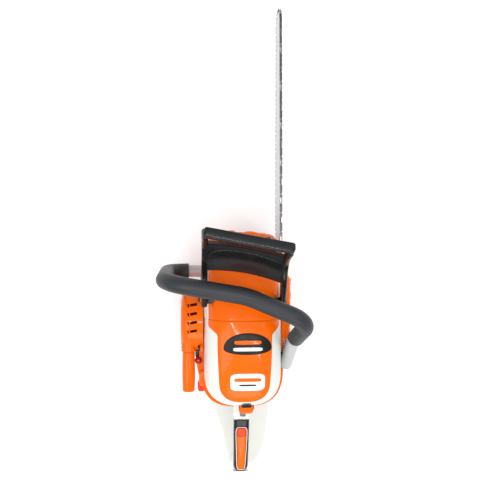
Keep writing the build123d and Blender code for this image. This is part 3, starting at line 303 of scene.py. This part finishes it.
def quads(rows, columns, wrap=False, start=0):
    """Quads of a grid of rows x columns points; wrap joins the last column to the first."""
    r, c = np.meshgrid(np.arange(rows - 1), np.arange(columns if wrap else columns - 1), indexing="ij")
    n = (c + 1) % columns
    cells = np.stack([r * columns + c, r * columns + n, (r + 1) * columns + n, (r + 1) * columns + c], -1)
    return (cells.reshape(-1, 4) + start).tolist()


def slab(name, top, under, material, body):
    """Closed sheet between two grids of the same size: the top, the underside and the rim."""
    rows, columns = top.shape[:2]
    count = rows * columns
    faces = quads(rows, columns) + [f[::-1] for f in quads(rows, columns, start=count)]
    index = np.arange(count).reshape(rows, columns)
    ring = np.concatenate([index[0, :-1], index[:-1, -1], index[-1, :0:-1], index[:0:-1, 0]])
    after = np.roll(ring, -1)
    faces += np.stack([ring, ring + count, after + count, after], -1).tolist()
    return put_mesh(name, np.concatenate([top.reshape(-1, 3), under.reshape(-1, 3)]), faces, material, body)


def ease(value, low, high):
    """Smooth step from 0 at low to 1 at high."""
    t = np.clip((value - low) / (high - low), 0, 1)
    return t * t * (3 - 2 * t)


def cover_half(y):
    """Half width of the cover at y: straight, then a quarter super-ellipse in plan to the rear."""
    t = np.clip((cover_rear + rear_round - y) / rear_round, 0, 1)
    return half_width * (1 - t ** rear_power) ** (1 / rear_power)


def cover_top(y):
    """Height of the cover's top line: the crown less a power of the way to the front, a power of
    the way to the rear, and a steep power that drops it at the rear edge."""
    rear = np.clip((cover_rear + rear_slope - y) / rear_slope, 0, 1)
    front = np.clip((y + 10 * mm) / front_slope, 0, 1)
    return crown_z - rear_fall * rear ** 2.2 - front_fall * front ** 1.6 - rear_drop * rear ** 14


def arch_height(x, y):
    """Height of the cover's surface over a plan point: a super-ellipse across the saw."""
    across = np.clip(np.abs(x) / np.maximum(cover_half(y), 1e-6), 0, 1)
    rise = cover_top(y) - skirt_z
    return skirt_z + rise * (1 - across ** arch_power) ** (1 / arch_power)


def arch_grid(y, turns, inset):
    """Points of the arch: angle across, position along; inset draws the shell inwards."""
    angle = np.linspace(0, np.pi, turns)
    along, around = np.meshgrid(y, angle, indexing="ij")
    wide = np.maximum(cover_half(along) - inset, 0)
    rise = np.maximum(cover_top(along) - inset - skirt_z, 0)
    x = wide * np.sign(np.cos(around)) * np.abs(np.cos(around)) ** (2 / arch_power)
    z = skirt_z + rise * np.sin(around) ** (2 / arch_power)
    return np.stack([x, along + inset * 0.6 * (along < cover_rear + 50 * mm), z], -1)


cover_y = cover_rear + (seam_y - cover_rear) * (1 - np.cos(np.linspace(0.0, np.pi / 2, 60)))
cover_skin = slab("top_cover_shell", arch_grid(cover_y, 97, 0.0), arch_grid(cover_y, 97, shell_wall),
                  white, "top_cover")
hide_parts("top_cover")

panel_rear = cover_rear + 13.5 * mm
panel_round = 34 * mm
panel_lift = 2.4 * mm
panel_edge = 2.2 * mm
panel_narrow, panel_taper, panel_shoulder = 41 * mm, 4 * mm, 14.5 * mm


def panel_half(y):
    """Half width of the orange panel: full at the front, a smooth step in at the shoulder, a slight
    taper, then a quarter super-ellipse at the rear."""
    shoulder = ease(y, 1 * mm, 17 * mm)
    rounding = np.clip((panel_rear + panel_round - y) / panel_round, 0, 1)
    taper = panel_taper * ease(y, -0.115, -0.01)
    return (panel_narrow + taper + panel_shoulder * shoulder) * (1 - rounding ** 2.6) ** (1 / 2.6)


def panel_grid(lift):
    """Plan grid of the panel, lifted off the cover and rolled under along its border."""
    along = panel_rear + (seam_y - 0.1 * mm - panel_rear) * (1 - np.cos(np.linspace(0.02, np.pi / 2, 90)))
    side = np.sin(np.linspace(-np.pi / 2, np.pi / 2, 71))
    y, s = np.meshgrid(along, side, indexing="ij")
    x = s * panel_half(y)
    edge = np.clip((1 - np.abs(s)) * panel_half(y) / panel_edge, 0, 1)
    edge = np.minimum(edge, np.clip((y - panel_rear) / panel_edge, 0, 1))
    z = arch_height(x, y) - 0.5 * mm + lift * np.sqrt(1 - (1 - edge) ** 2)
    return np.stack([x, y, z], -1)


panel_skin = slab("cover_panel_shell", panel_grid(panel_lift), panel_grid(0.0) - [0, 0, 0.8 * mm],
                  orange, "top_cover")
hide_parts("cover_panel")


def badge(name, centre, half, depth, power, material, lift=2.6, flat_rear=False):
    """Thin plate on the panel with a super-elliptic outline; a flat rear makes a half round."""
    ring = np.linspace(0, 2 * np.pi, 96, endpoint=False)
    radius = np.array([0.0, 0.15, 0.3, 0.45, 0.6, 0.7, 0.8, 0.88, 0.94, 0.98, 1.0])[:, None]
    x = np.sign(np.cos(ring)) * np.abs(np.cos(ring)) ** (2 / power) * half
    y = np.sign(np.sin(ring)) * np.abs(np.sin(ring)) ** (2 / power) * depth
    if flat_rear:
        y = np.where(y < 0, y * 0.4, y)
    x, y = centre[0] + x * radius, centre[1] + y * radius
    roll = np.sqrt(1 - np.clip((radius - 0.9) / 0.1, 0, 1) ** 2)
    top = np.stack([x, y, arch_height(x, y) + (lift - 0.4 + 0.4 * roll) * mm], -1)
    under = top[-1:] - [0, 0, 0.9 * mm]
    rings = len(radius)
    faces = quads(rings + 1, 96, wrap=True) + [list(range(rings * 96, (rings + 1) * 96))[::-1]]
    return put_mesh(name, np.concatenate([top, under]), faces, material, "top_cover")


badge_black = plastic("badge_black", (0.008, 0.008, 0.006), (0.012, 0.012, 0.01), 0.35, 0.002, 0.0, 0.2)
badge_white = plastic("badge_white", (0.82, 0.82, 0.8), (0.74, 0.74, 0.72), 0.25, 0.002, 0.4)
badge_x = 4.2 * mm
plates = [
    badge("badge_round", (badge_x, -18 * mm), 39.5 * mm, 25 * mm, 2.1, badge_black, 3.0, True),
    badge("badge_bar_light", (badge_x, -19 * mm), 24 * mm, 3.0 * mm, 5, badge_white, 3.4),
    badge("badge_bar_orange", (badge_x, -8 * mm), 22 * mm, 3.2 * mm, 5, orange, 3.4),
    badge("badge_plate", (badge_x, -73.5 * mm), 28.5 * mm, 14.5 * mm, 5, badge_white, 2.5),
    badge("badge_plate_bar", (badge_x, -69.5 * mm), 22 * mm, 3.0 * mm, 5, orange, 2.9),
    badge("badge_plate_line", (badge_x, -78.5 * mm), 14 * mm, 1.4 * mm, 5, badge_black, 2.9),
]

# ---- front shroud ----------------------------------------------------------------------------
# The orange shell in front of the cover: it dives under the hand guard, covers the exhaust and
# ends in a rounded nose with three moulded bosses. Its boss pins carry the guard.
nose_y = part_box("front_shroud")[1].y
nose_round, nose_taper = 14 * mm, 7 * mm
panel_front, band_front = 0.118, 0.108


def shroud_half(y):
    """Half width at y: straight beside the handle, then drawn in to the rounded nose."""
    taper = nose_taper * ease(y, 0.100, 0.165)
    rounding = np.clip((y - (nose_y - nose_round)) / nose_round, 0, 1)
    return (half_width - taper) * (1 - rounding ** 3.0) ** (1 / 3.0)


def shroud_top(y):
    """Height at y: carries on from the cover, then falls in a long hollow to the nose."""
    fall = 26 * mm * ease(y, 0.055, 0.130) + 10 * mm * ease(y, 0.120, nose_y)
    return cover_top(np.minimum(y, 0.06)) - fall - 16 * mm * np.clip((y - 0.150) / 0.024, 0, 1) ** 2


def shroud_grid(y, turns, inset):
    """Points of the shroud: a super-ellipse across the saw at each place along; inset draws it in."""
    angle = np.linspace(0, np.pi, turns)
    along, around = np.meshgrid(y, angle, indexing="ij")
    wide = np.maximum(shroud_half(along) - inset, 0)
    rise = np.maximum(shroud_top(along) - inset - skirt_z, 0)
    x = wide * np.sign(np.cos(around)) * np.abs(np.cos(around)) ** (2 / arch_power)
    z = skirt_z + rise * np.sin(around) ** (2 / arch_power)
    return np.stack([x, along, z], -1)


shroud_y = nose_y - (nose_y - seam_y - 0.1 * mm) * (1 - np.cos(np.linspace(0, np.pi / 2, 70)))
shroud_skin = slab("front_shroud_shell", shroud_grid(shroud_y, 97, 0.0)[::-1],
                   shroud_grid(shroud_y, 97, shell_wall)[::-1], orange, "saw")


def shroud_height(x, y):
    """Height of the shroud's surface over a plan point."""
    across = np.clip(np.abs(x) / np.maximum(shroud_half(y), 1e-6), 0, 1)
    return skirt_z + (shroud_top(y) - skirt_z) * (1 - across ** arch_power) ** (1 / arch_power)


def front_panel_grid(lift):
    """Orange panel carried on over the shroud, as high as the cover's, and sinking in to the front."""
    along = np.linspace(seam_y + 0.1 * mm, panel_front, 60)
    y, s = np.meshgrid(along, np.sin(np.linspace(-np.pi / 2, np.pi / 2, 71)), indexing="ij")
    half = panel_half(y) - 3 * mm * ease(y, 0.06, panel_front)
    edge = np.clip((1 - np.abs(s)) * half / panel_edge, 0, 1) * np.clip((panel_front - y) / (20 * mm), 0, 1)
    x = s * half
    return np.stack([x, y, shroud_height(x, y) - 0.5 * mm + lift * np.sqrt(1 - (1 - edge) ** 2)], -1)


def band_grid(side, out):
    """Light grey flank of the shroud below the panel: the lowest part of the arch, drawn outwards."""
    along = np.linspace(seam_y + 0.1 * mm, band_front, 40)
    y, turn = np.meshgrid(along, np.linspace(0.002, 0.62, 30), indexing="ij")
    wide, rise = shroud_half(y) + out, shroud_top(y) + out - skirt_z
    x = side * wide * np.cos(turn) ** (2 / arch_power)
    return np.stack([x, y, skirt_z + rise * np.sin(turn) ** (2 / arch_power)], -1)


front_panel = slab("front_panel", front_panel_grid(panel_lift), front_panel_grid(0.0) - [0, 0, 0.8 * mm],
                   orange, "saw")
band_out, band_in = 0.8 * mm, -0.6 * mm
bands = [slab("shroud_band_right", band_grid(1, band_out), band_grid(1, band_in), white, "saw"),
         slab("shroud_band_left", band_grid(-1, band_out)[::-1], band_grid(-1, band_in)[::-1], white, "saw")]


def pebble(name, centre, half, material, body, power=3.0, turns=40, rings=22):
    """Closed super-ellipsoid: rings of latitude, each a super-ellipse, shrinking to both poles."""
    low, high = -np.pi / 2 + 0.02, np.pi / 2 - 0.02
    tilt, turn = np.meshgrid(np.linspace(low, high, rings), np.linspace(0, 2 * np.pi, turns, endpoint=False),
                             indexing="ij")

    def bend(value):
        return np.sign(value) * np.abs(value) ** (2 / power)

    unit = np.stack([bend(np.cos(tilt)) * bend(np.cos(turn)), bend(np.cos(tilt)) * bend(np.sin(turn)),
                     bend(np.sin(tilt))], -1)
    faces = quads(rings, turns, wrap=True)
    faces += [list(range(turns))[::-1], list(range((rings - 1) * turns, rings * turns))]
    return put_mesh(name, np.asarray(centre) + unit * np.asarray(half), faces, material, body)


nose_bosses = [
    pebble("nose_boss_left", (-0.019, 0.1655, 0.136), (0.009, 0.010, 0.016), orange, "saw", 2.4),
    pebble("nose_boss_middle", (0.012, 0.161, 0.140), (0.019, 0.0125, 0.017), orange, "saw", 2.4),
    pebble("nose_boss_right", (0.037, 0.152, 0.150), (0.012, 0.011, 0.014), orange, "saw", 2.4),
]
pressure_valve = pebble("pressure_valve", (0.041, 0.1575, 0.160), (0.0065, 0.0065, 0.008), black, "saw", 2.6)


def bar_round(name, path, radius, material, body, turns=24, flat=1.0, power=2.0, wide=1.0):
    """Bar along a path: a super-elliptic ring at every point, square to the path.

    The ring lies in the plane of the path's side vector and the vector square to both; wide then
    scales it along X about the path.
    """
    path = np.asarray(path, float)
    radius = np.broadcast_to(np.asarray(radius, float), (len(path),)).copy()
    ahead = np.gradient(path, axis=0)
    ahead /= np.linalg.norm(ahead, axis=1, keepdims=True)
    side = np.cross(ahead, [0.05, 0.08, 1.0])
    side /= np.linalg.norm(side, axis=1, keepdims=True)
    up = np.cross(side, ahead)
    ring = np.linspace(0, 2 * np.pi, turns, endpoint=False)
    c = np.sign(np.cos(ring)) * np.abs(np.cos(ring)) ** (2 / power)
    d = np.sign(np.sin(ring)) * np.abs(np.sin(ring)) ** (2 / power) * flat
    ring_points = c[None, :, None] * side[:, None] + d[None, :, None] * up[:, None]
    points = path[:, None] + radius[:, None, None] * ring_points * [wide, 1, 1]
    faces = quads(len(path), turns, wrap=True)
    faces += [list(range(turns))[::-1], list(range((len(path) - 1) * turns, len(path) * turns))]
    return put_mesh(name, points, faces, material, body)


def route(x, y, z):
    """Points of a path; a coordinate that is one number stays the same all along."""
    return np.stack(np.broadcast_arrays(x, y, z), -1)


def soft_ends(count, radius, share=0.12):
    """Radii along a bar that swell to full size over a share of its length, at both ends."""
    t = np.linspace(0, 1, count)
    end = np.clip(np.minimum(t, 1 - t) / share, 0, 1)
    return radius * np.sqrt(1 - (1 - end) ** 2) * 0.999 + radius * 0.001


guard_low, guard_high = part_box("hand_guard")
pivot_y, pivot_z = 0.058, 0.176
pin_x = np.linspace(guard_low.x + 0.2 * mm, guard_high.x - 0.2 * mm, 8)
guard_pins = bar_round("guard_pivot_pins", route(pin_x, pivot_y, pivot_z), 4.9 * mm, dark_steel, "saw")
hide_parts("front_shroud")

# ---- hand guard ------------------------------------------------------------------------------
# One black moulding in front of the front handle: two arms from the pivots, a bulging web that
# the back of the hand meets, a slot, and a top bar. Its left end stands further forward.
guard_left, guard_right = guard_low.x, guard_high.x
guard_top = guard_high.z
skew = 26 * mm
guard_span = guard_right - guard_left


def skewed(x):
    """How far forward the guard stands at x."""
    return skew * (0.5 - (x - guard_left) / guard_span)


def web_point(x, t, out):
    """Point of the web: between its lower line, t = 0, and its upper line, t = 1, bulged forward."""
    across = (x - (guard_left + guard_right) / 2) / (guard_span / 2)
    bulge = (1 - t * t) * 9 * mm * np.sin(np.pi * t) + 6 * mm * np.sin(np.pi * t)
    y = 0.105 + 0.0445 * t + 0.25 * bulge + skewed(x) - (9 - 5 * t) * mm * across ** 2 + 0.2 * out
    z = 0.2065 + 0.044 * t ** 1.2 + 0.62 * bulge * (1 - 0.35 * across ** 2) + out
    return np.stack([x, y, z], -1)


def web_grid(out):
    """The whole web, with its upper border rolled up into a lip."""
    x, t = np.meshgrid(np.linspace(guard_left + 2 * mm, guard_right - 5 * mm, 90), np.linspace(0, 1, 40),
                       indexing="ij")
    grid = web_point(x, t, out)
    grid[..., 2] += 3.0 * mm * ease(t, 0.86, 1.0)
    return grid


def line(points, count):
    """Smooth line through a few points: Catmull-Rom, worked out for all steps at once."""
    p = np.asarray(points, float)
    p = np.concatenate([[2 * p[0] - p[1]], p, [2 * p[-1] - p[-2]]])
    at = np.linspace(0, len(p) - 3 - 1e-9, count)
    i = at.astype(int)
    t = (at - i)[:, None]
    a, b, c, d = p[i], p[i + 1], p[i + 2], p[i + 3]
    curve = 2 * b + (c - a) * t + (2 * a - 5 * b + 4 * c - d) * t ** 2 + (3 * b - a - 3 * c + d) * t ** 3
    return 0.5 * curve


web = slab("guard_web", web_grid(2.0 * mm), web_grid(-2.0 * mm), black, "hand_guard")
ridge_at = line([(-0.0655, 0.08, 0), (-0.060, 0.42, 0), (-0.047, 0.62, 0), (-0.020, 0.70, 0),
                 (0.015, 0.70, 0), (0.056, 0.60, 0)], 60)
ridge_path = web_point(ridge_at[:, 0], ridge_at[:, 1], 1.6 * mm)
ridge = bar_round("guard_ridge", ridge_path, soft_ends(60, 1.5 * mm), black, "hand_guard", 12)
top_x = np.linspace(guard_left + 1.5 * mm, guard_right - 0.5 * mm, 50)
top_path = route(top_x, 0.1575 + skewed(top_x), guard_top - 8.3 * mm)
bar_r = 8.6 * mm
top_bar = bar_round("guard_top_bar", top_path, soft_ends(50, bar_r, 0.035), black, "hand_guard", 32, 0.92,
                    4.5)
rib_path = top_path[3:-3] + [0, 6.5 * mm, -9 * mm]
top_rib = bar_round("guard_top_rib", rib_path, 1.6 * mm, black, "hand_guard", 12, 3.0)
for tag, lean, places in (("left", 0.5, (-66.6, -66.4, -66.2, -66.2, -66.4, -66.6, -66.6)),
                          ("right", -0.5, (65.2, 64.4, 62.8, 61.6, 61.2, 61.8, 64.0))):
    shift = skew * lean
    track = [(0.0515, 0.1705), (0.060, 0.178), (0.080 + shift * 0.4, 0.194), (0.104 + shift, 0.2085),
             (0.132 + shift, 0.226), (0.147 + shift, 0.250), (0.1575 + shift, guard_top - 10 * mm)]
    path = line([(x * mm, y, z) for x, (y, z) in zip(places, track)], 70)
    bar_round(f"guard_arm_{tag}", path, soft_ends(70, bar_r, 0.05), black, "hand_guard", 32, 1.0,
                          3.6, 0.6)
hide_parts("hand_guard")

# ---- sprocket cover --------------------------------------------------------------------------
# One orange moulding over the sprocket and the bar's tail, held by the two bar nuts: full and
# grooved over the clutch, drawn in towards the bar at its front.
side_low, side_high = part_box("sprocket_cover")
nut_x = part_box("bar_nuts")[0].x
side_mid = (side_low.y + side_high.y) / 2
side_half = (side_high.y - side_low.y) / 2
side_z = (side_low.z + side_high.z) / 2


def sprocket_cover_grid(inset):
    """Half super-ellipses standing on the saw's side; five grooves are cut in over the clutch."""
    y = side_mid + (side_half - inset) * np.sin(np.linspace(-np.pi / 2, np.pi / 2, 130))
    y, turn = np.meshgrid(y, np.linspace(-np.pi / 2, np.pi / 2, 61), indexing="ij")
    ends = (1 - np.clip(np.abs(y - side_mid) / (side_half - inset), 0, 1) ** 5) ** 0.2
    high = (side_high.z - side_z - inset) * ends
    wide = (nut_x - side_low.x + 2.5 * mm - 11.5 * mm * ease(y, 0.088, 0.108) - inset) * ends ** 0.5
    phase = np.clip((y + 22 * mm) / (11 * mm), 0, 5)
    groove = 1.3 * mm * np.sin(np.pi * (phase % 1)) ** 6 * (np.abs(turn) < 1.0) * (inset == 0)
    x = side_low.x + np.maximum(wide - groove, 0) * np.cos(turn) ** (2 / 4.5)
    return np.stack([x, y, side_z + high * np.sign(turn) * np.abs(np.sin(turn)) ** (2 / 4.5)], -1)


side_cover = slab("sprocket_cover_shell", sprocket_cover_grid(0.0), sprocket_cover_grid(2.2 * mm), orange,
                  "saw")
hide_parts("sprocket_cover")

# ---- starter grip ----------------------------------------------------------------------------
# Barrel grip of the starter: one smooth orange turning, a little fuller in the middle.
grip_low, grip_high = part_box("starter_grip")
grip_x, grip_z = (grip_low.x + grip_high.x) / 2, (grip_low.z + grip_high.z) / 2
grip_y = np.linspace(grip_low.y, grip_high.y + 4 * mm, 60)
grip_along = (grip_y - grip_y[0]) / (grip_y[-1] - grip_y[0])
grip_r = soft_ends(60, (grip_high.x - grip_low.x) / 2, 0.04) * (0.94 + 0.06 * np.sin(np.pi * grip_along))
pull = bar_round("starter_grip_barrel", route(grip_x, grip_y, grip_z), grip_r, orange, "starter_grip", 40)
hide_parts("starter_grip")
cuff_y = np.linspace(grip_high.y + 2 * mm, grip_high.y + 24 * mm, 30)
cuff_r = soft_ends(30, 12.6 * mm, 0.06)
cuff = bar_round("starter_cuff", route(grip_x, cuff_y, grip_z), cuff_r, orange, "saw", 40)

# ---- housing rim -----------------------------------------------------------------------------
# The lower housing ends in an orange lip that stands a few millimetres out round the cover's rear,
# with two moulded lumps beside it on the starter side.
def lip(half, length, z):
    """Line round the rear in plan, a super-ellipse of power 3 that starts beside the cover."""
    turn = np.linspace(0, np.pi, 120)
    x = half * np.sign(np.cos(turn)) * np.abs(np.cos(turn)) ** (2 / 3)
    return route(x + 2 * mm, -60 * mm - length * np.sin(turn) ** (2 / 3), z)


rim_low, rim_high = 84 * mm, 98 * mm
lip_section = [lip(73.5 * mm, 78 * mm, rim_low), lip(74 * mm, 78.5 * mm, rim_high - 1.5 * mm),
               lip(73 * mm, 77.5 * mm, rim_high), lip(62 * mm, 60 * mm, rim_high),
               lip(62 * mm, 60 * mm, rim_low)]
lip_points = np.stack(lip_section, 1)[::-1]
lip_rows, lip_sides = lip_points.shape[:2]
lip_ends = [list(range(lip_sides))[::-1], list(range((lip_rows - 1) * lip_sides, lip_rows * lip_sides))]
lip_faces = quads(lip_rows, lip_sides, wrap=True) + lip_ends
rim = put_mesh("housing_rim", lip_points, lip_faces, orange, "saw", smooth=False)
lumps = [
    pebble("rim_lump_upper", (-0.0690, -0.082, 0.112), (0.0055, 0.014, 0.010), orange, "saw", 4),
    pebble("rim_lump_lower", (-0.0700, -0.103, 0.082), (0.0070, 0.010, 0.012), deep_orange, "saw",
           3.4),
]

# ---- handle spring and stay ------------------------------------------------------------------
# A bright helper spring beside the handle's foot, and the black stay from the guard's right pivot
# down to the saw's side.
spring_x, spring_y, spring_z = 0.0745, -0.0130, 0.128
spring_r, spring_length, spring_turns = 4.2 * mm, 20 * mm, 5
spring_share = np.linspace(0, 1, 260)
spring_angle = spring_share * 2 * np.pi * spring_turns
spring_path = route(spring_x + spring_r * np.cos(spring_angle), spring_y - spring_length * spring_share,
                    spring_z + spring_r * np.sin(spring_angle))
helper_spring = bar_round("handle_spring", spring_path, 1.1 * mm, steel, "saw", 12)
stay_path = line([(0.0700, 0.0820, 0.150), (0.0672, 0.0700, 0.160), (0.0650, 0.0560, 0.168)], 20)
stay = bar_round("guard_stay", stay_path, soft_ends(20, 3.4 * mm, 0.2), black, "saw", 20)

# ---- primer bulb -----------------------------------------------------------------------------
# A soft red bulb in a hollow of the starter housing's tail, pressed to prime the carburettor; the flat black
# lump beside it is painted shade for the dark of that hollow.
primer = pebble("primer_bulb", (-0.0755, -0.0515, 0.117), (0.0062, 0.0062, 0.006), red, "saw", 2.2)
# Painted shade: a flat black lump where the hollow beside the bulb lies in shadow.
hollow = pebble("primer_hollow_shade", (-0.0775, -0.040, 0.1155), (0.0035, 0.0070, 0.0016), black, "saw", 3)

# ---- latch -----------------------------------------------------------------------------------
# An orange tab that snaps over the cover's rear edge, between two light cheeks. The black pocket in front of
# it and the black patch on its top are painted shade of the recess it sits in.
latch_low, latch_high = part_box("cover_latch")
latch_mid = (latch_low.x + latch_high.x) / 2 + 1.5 * mm
tab = pebble("latch_tab", (latch_mid, -0.1225, 0.1590), (0.0122, 0.0100, 0.0125), orange,
             "cover_latch", 5)
# Painted shade: a thin black patch on the tab's top for its shadowed recess.
tab_recess_shade = pebble("latch_tab_recess_shade", (latch_mid, -0.1180, 0.1705), (0.0088, 0.0036, 0.0020), black,
                "cover_latch", 5)
# Painted shade: a black lump for the dark of the pocket in front of the tab.
pocket_shade = pebble("latch_pocket_shade", (latch_mid, -0.1115, 0.1690), (0.0092, 0.0040, 0.0100), black,
                "top_cover", 4)
cheeks = [
    pebble(f"latch_cheek_{tag}", (latch_mid + side * 13.8 * mm, -0.1170, 0.1590), (0.0011, 0.0110, 0.0160),
           white, "top_cover", 4)
    for tag, side in (("left", -1), ("right", 1))
]
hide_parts("cover_latch")

# ---- starter rope ----------------------------------------------------------------------------
# Braided nylon from the pulley out through the housing to the grip. On the saw it pays out as the
# grip is drawn; here it is one straight cord that rides on no body.
rope_low, rope_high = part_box("starter_rope")
rope_x, rope_z = (rope_low.x + rope_high.x) / 2, (rope_low.z + rope_high.z) / 2
rope_y = np.linspace(rope_low.y - 4 * mm, rope_high.y, 160)
rope = bar_round("starter_cord", route(rope_x, rope_y, rope_z), 1.7 * mm, braid, None, 12)
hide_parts("starter_rope")
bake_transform(rope)

# ---- rear handle insert ----------------------------------------------------------------------
# Black insert along the top of the rear handle, rounded at its tail, with the slot of the throttle
# lock outlined by a raised edge whose light grey is a painted highlight along the slot's rim.
# The orange lock lever lies in it, dark red at its front.
insert_low, insert_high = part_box("handle_insert")
lock_low, lock_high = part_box("throttle_lock")
insert_half = (insert_high.x - insert_low.x) / 2 - 0.6 * mm
insert_height = 11.5 * mm
insert_drop = 9 * mm
tail_round = 13 * mm
trough_depth = 8.5 * mm
lever_half = 7.2 * mm


front_end, bend, tail_end = (-0.150, 0.118), (-0.215, 0.104), (-0.264, 0.088)


def handle_crown(y):
    """Height of the handle's top line: straight from its front to the bend and on to the tail."""
    front = front_end[1] + (y - front_end[0]) * (front_end[1] - bend[1]) / (front_end[0] - bend[0])
    tail = bend[1] + (y - bend[0]) * (bend[1] - tail_end[1]) / (bend[0] - tail_end[0])
    return np.where(y > bend[0], front, tail)


def insert_grid(inset):
    """Insert: half super-ellipses across with a trough for the lever, and a round tail."""
    length = insert_high.y - insert_low.y - 0.4 * mm
    y = insert_low.y + length * (1 - np.cos(np.linspace(0, np.pi / 2, 110)))
    y, turn = np.meshgrid(y, np.linspace(0, np.pi, 121), indexing="ij")
    tail = (1 - np.clip((insert_low.y + tail_round - y) / tail_round, 0, 1) ** 2.4) ** (1 / 2.4)
    wide = (insert_half - inset) * tail * (0.93 + 0.07 * ease(y, -0.25, -0.17))
    x = wide * np.sign(np.cos(turn)) * np.abs(np.cos(turn)) ** 0.5
    rise = (insert_height - inset) * np.sin(turn) ** 0.5 * (0.35 + 0.65 * tail)
    over = ease(y, lock_low.y - 2.2 * mm, lock_low.y - 1 * mm)
    over = over * (1 - ease(y, lock_high.y + 1 * mm, lock_high.y + 2.2 * mm))
    reach = lever_half + 1 * mm + 1.6 * mm * (2 * (y - lock_low.y) / (lock_high.y - lock_low.y) - 1)
    inside = (1 - ease(np.abs(x), reach, reach + 0.8 * mm)) * (turn > 0.02) * (turn < 3.12)
    trough = trough_depth * over * inside
    return np.stack([x, y, handle_crown(y) - insert_drop + rise - trough], -1)


insert = slab("handle_insert_shell", insert_grid(0.0), insert_grid(1.6 * mm), black, "saw")
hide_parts("handle_insert")


def lock_outline(grow):
    """Plan outline of the lever, grown by a border: a super-ellipse that widens to the front."""
    turn = np.linspace(0, 2 * np.pi, 120, endpoint=False)
    middle, half = (lock_low.y + lock_high.y) / 2, (lock_high.y - lock_low.y) / 2 + grow
    y = middle + half * np.sign(np.sin(turn)) * np.abs(np.sin(turn)) ** 0.3
    wide = lever_half + 1.6 * mm * (y - middle) / half + grow
    return wide * np.sign(np.cos(turn)) * np.abs(np.cos(turn)) ** 0.3, y


# Raised ring round the lever slot; its light grey is a painted highlight along the slot's rim.
edge_rings = []
for grow, lift in ((0.7, 1.5), (0.9, 3.4), (2.1, 3.4), (2.3, 1.5)):
    edge_x, edge_y = lock_outline(grow * mm)
    edge_rings.append(np.stack([edge_x, edge_y, handle_crown(edge_y) + lift * mm], -1))
edge_faces = (np.array(quads(5, 120, wrap=True)) % 480).tolist()
lock_edge_highlight = put_mesh("lock_slot_edge_highlight", np.stack(edge_rings)[::-1], edge_faces, white, "saw")


def lever_grid(lift, inset, share):
    """Top or underside of the lever between two shares of its length: it follows the handle's top
    line, widens evenly to the front and has a parabola for a crown."""
    y = lock_low.y + (lock_high.y - lock_low.y) * np.linspace(*share, 50)
    y, s = np.meshgrid(y, np.sin(np.linspace(-np.pi / 2, np.pi / 2, 25)), indexing="ij")
    wide = lever_half + 1.4 * mm * (2 * (y - lock_low.y) / (lock_high.y - lock_low.y) - 1) - inset
    crown = 1.2 * mm * (1 - s * s)
    return np.stack([s * wide, y, handle_crown(y) + lift + crown], -1)


lever_share, thumb_share = (0, 0.82), (0.822, 1)
lever = slab("throttle_lock_lever", lever_grid(5.2 * mm, 0.2 * mm, lever_share),
             lever_grid(0.6 * mm, 0.2 * mm, lever_share), orange, "throttle_lock")
thumb = slab("throttle_lock_thumb", lever_grid(5.0 * mm, 0.3 * mm, thumb_share),
             lever_grid(0.6 * mm, 0.3 * mm, thumb_share), deep_orange, "throttle_lock")
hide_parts("throttle_lock")
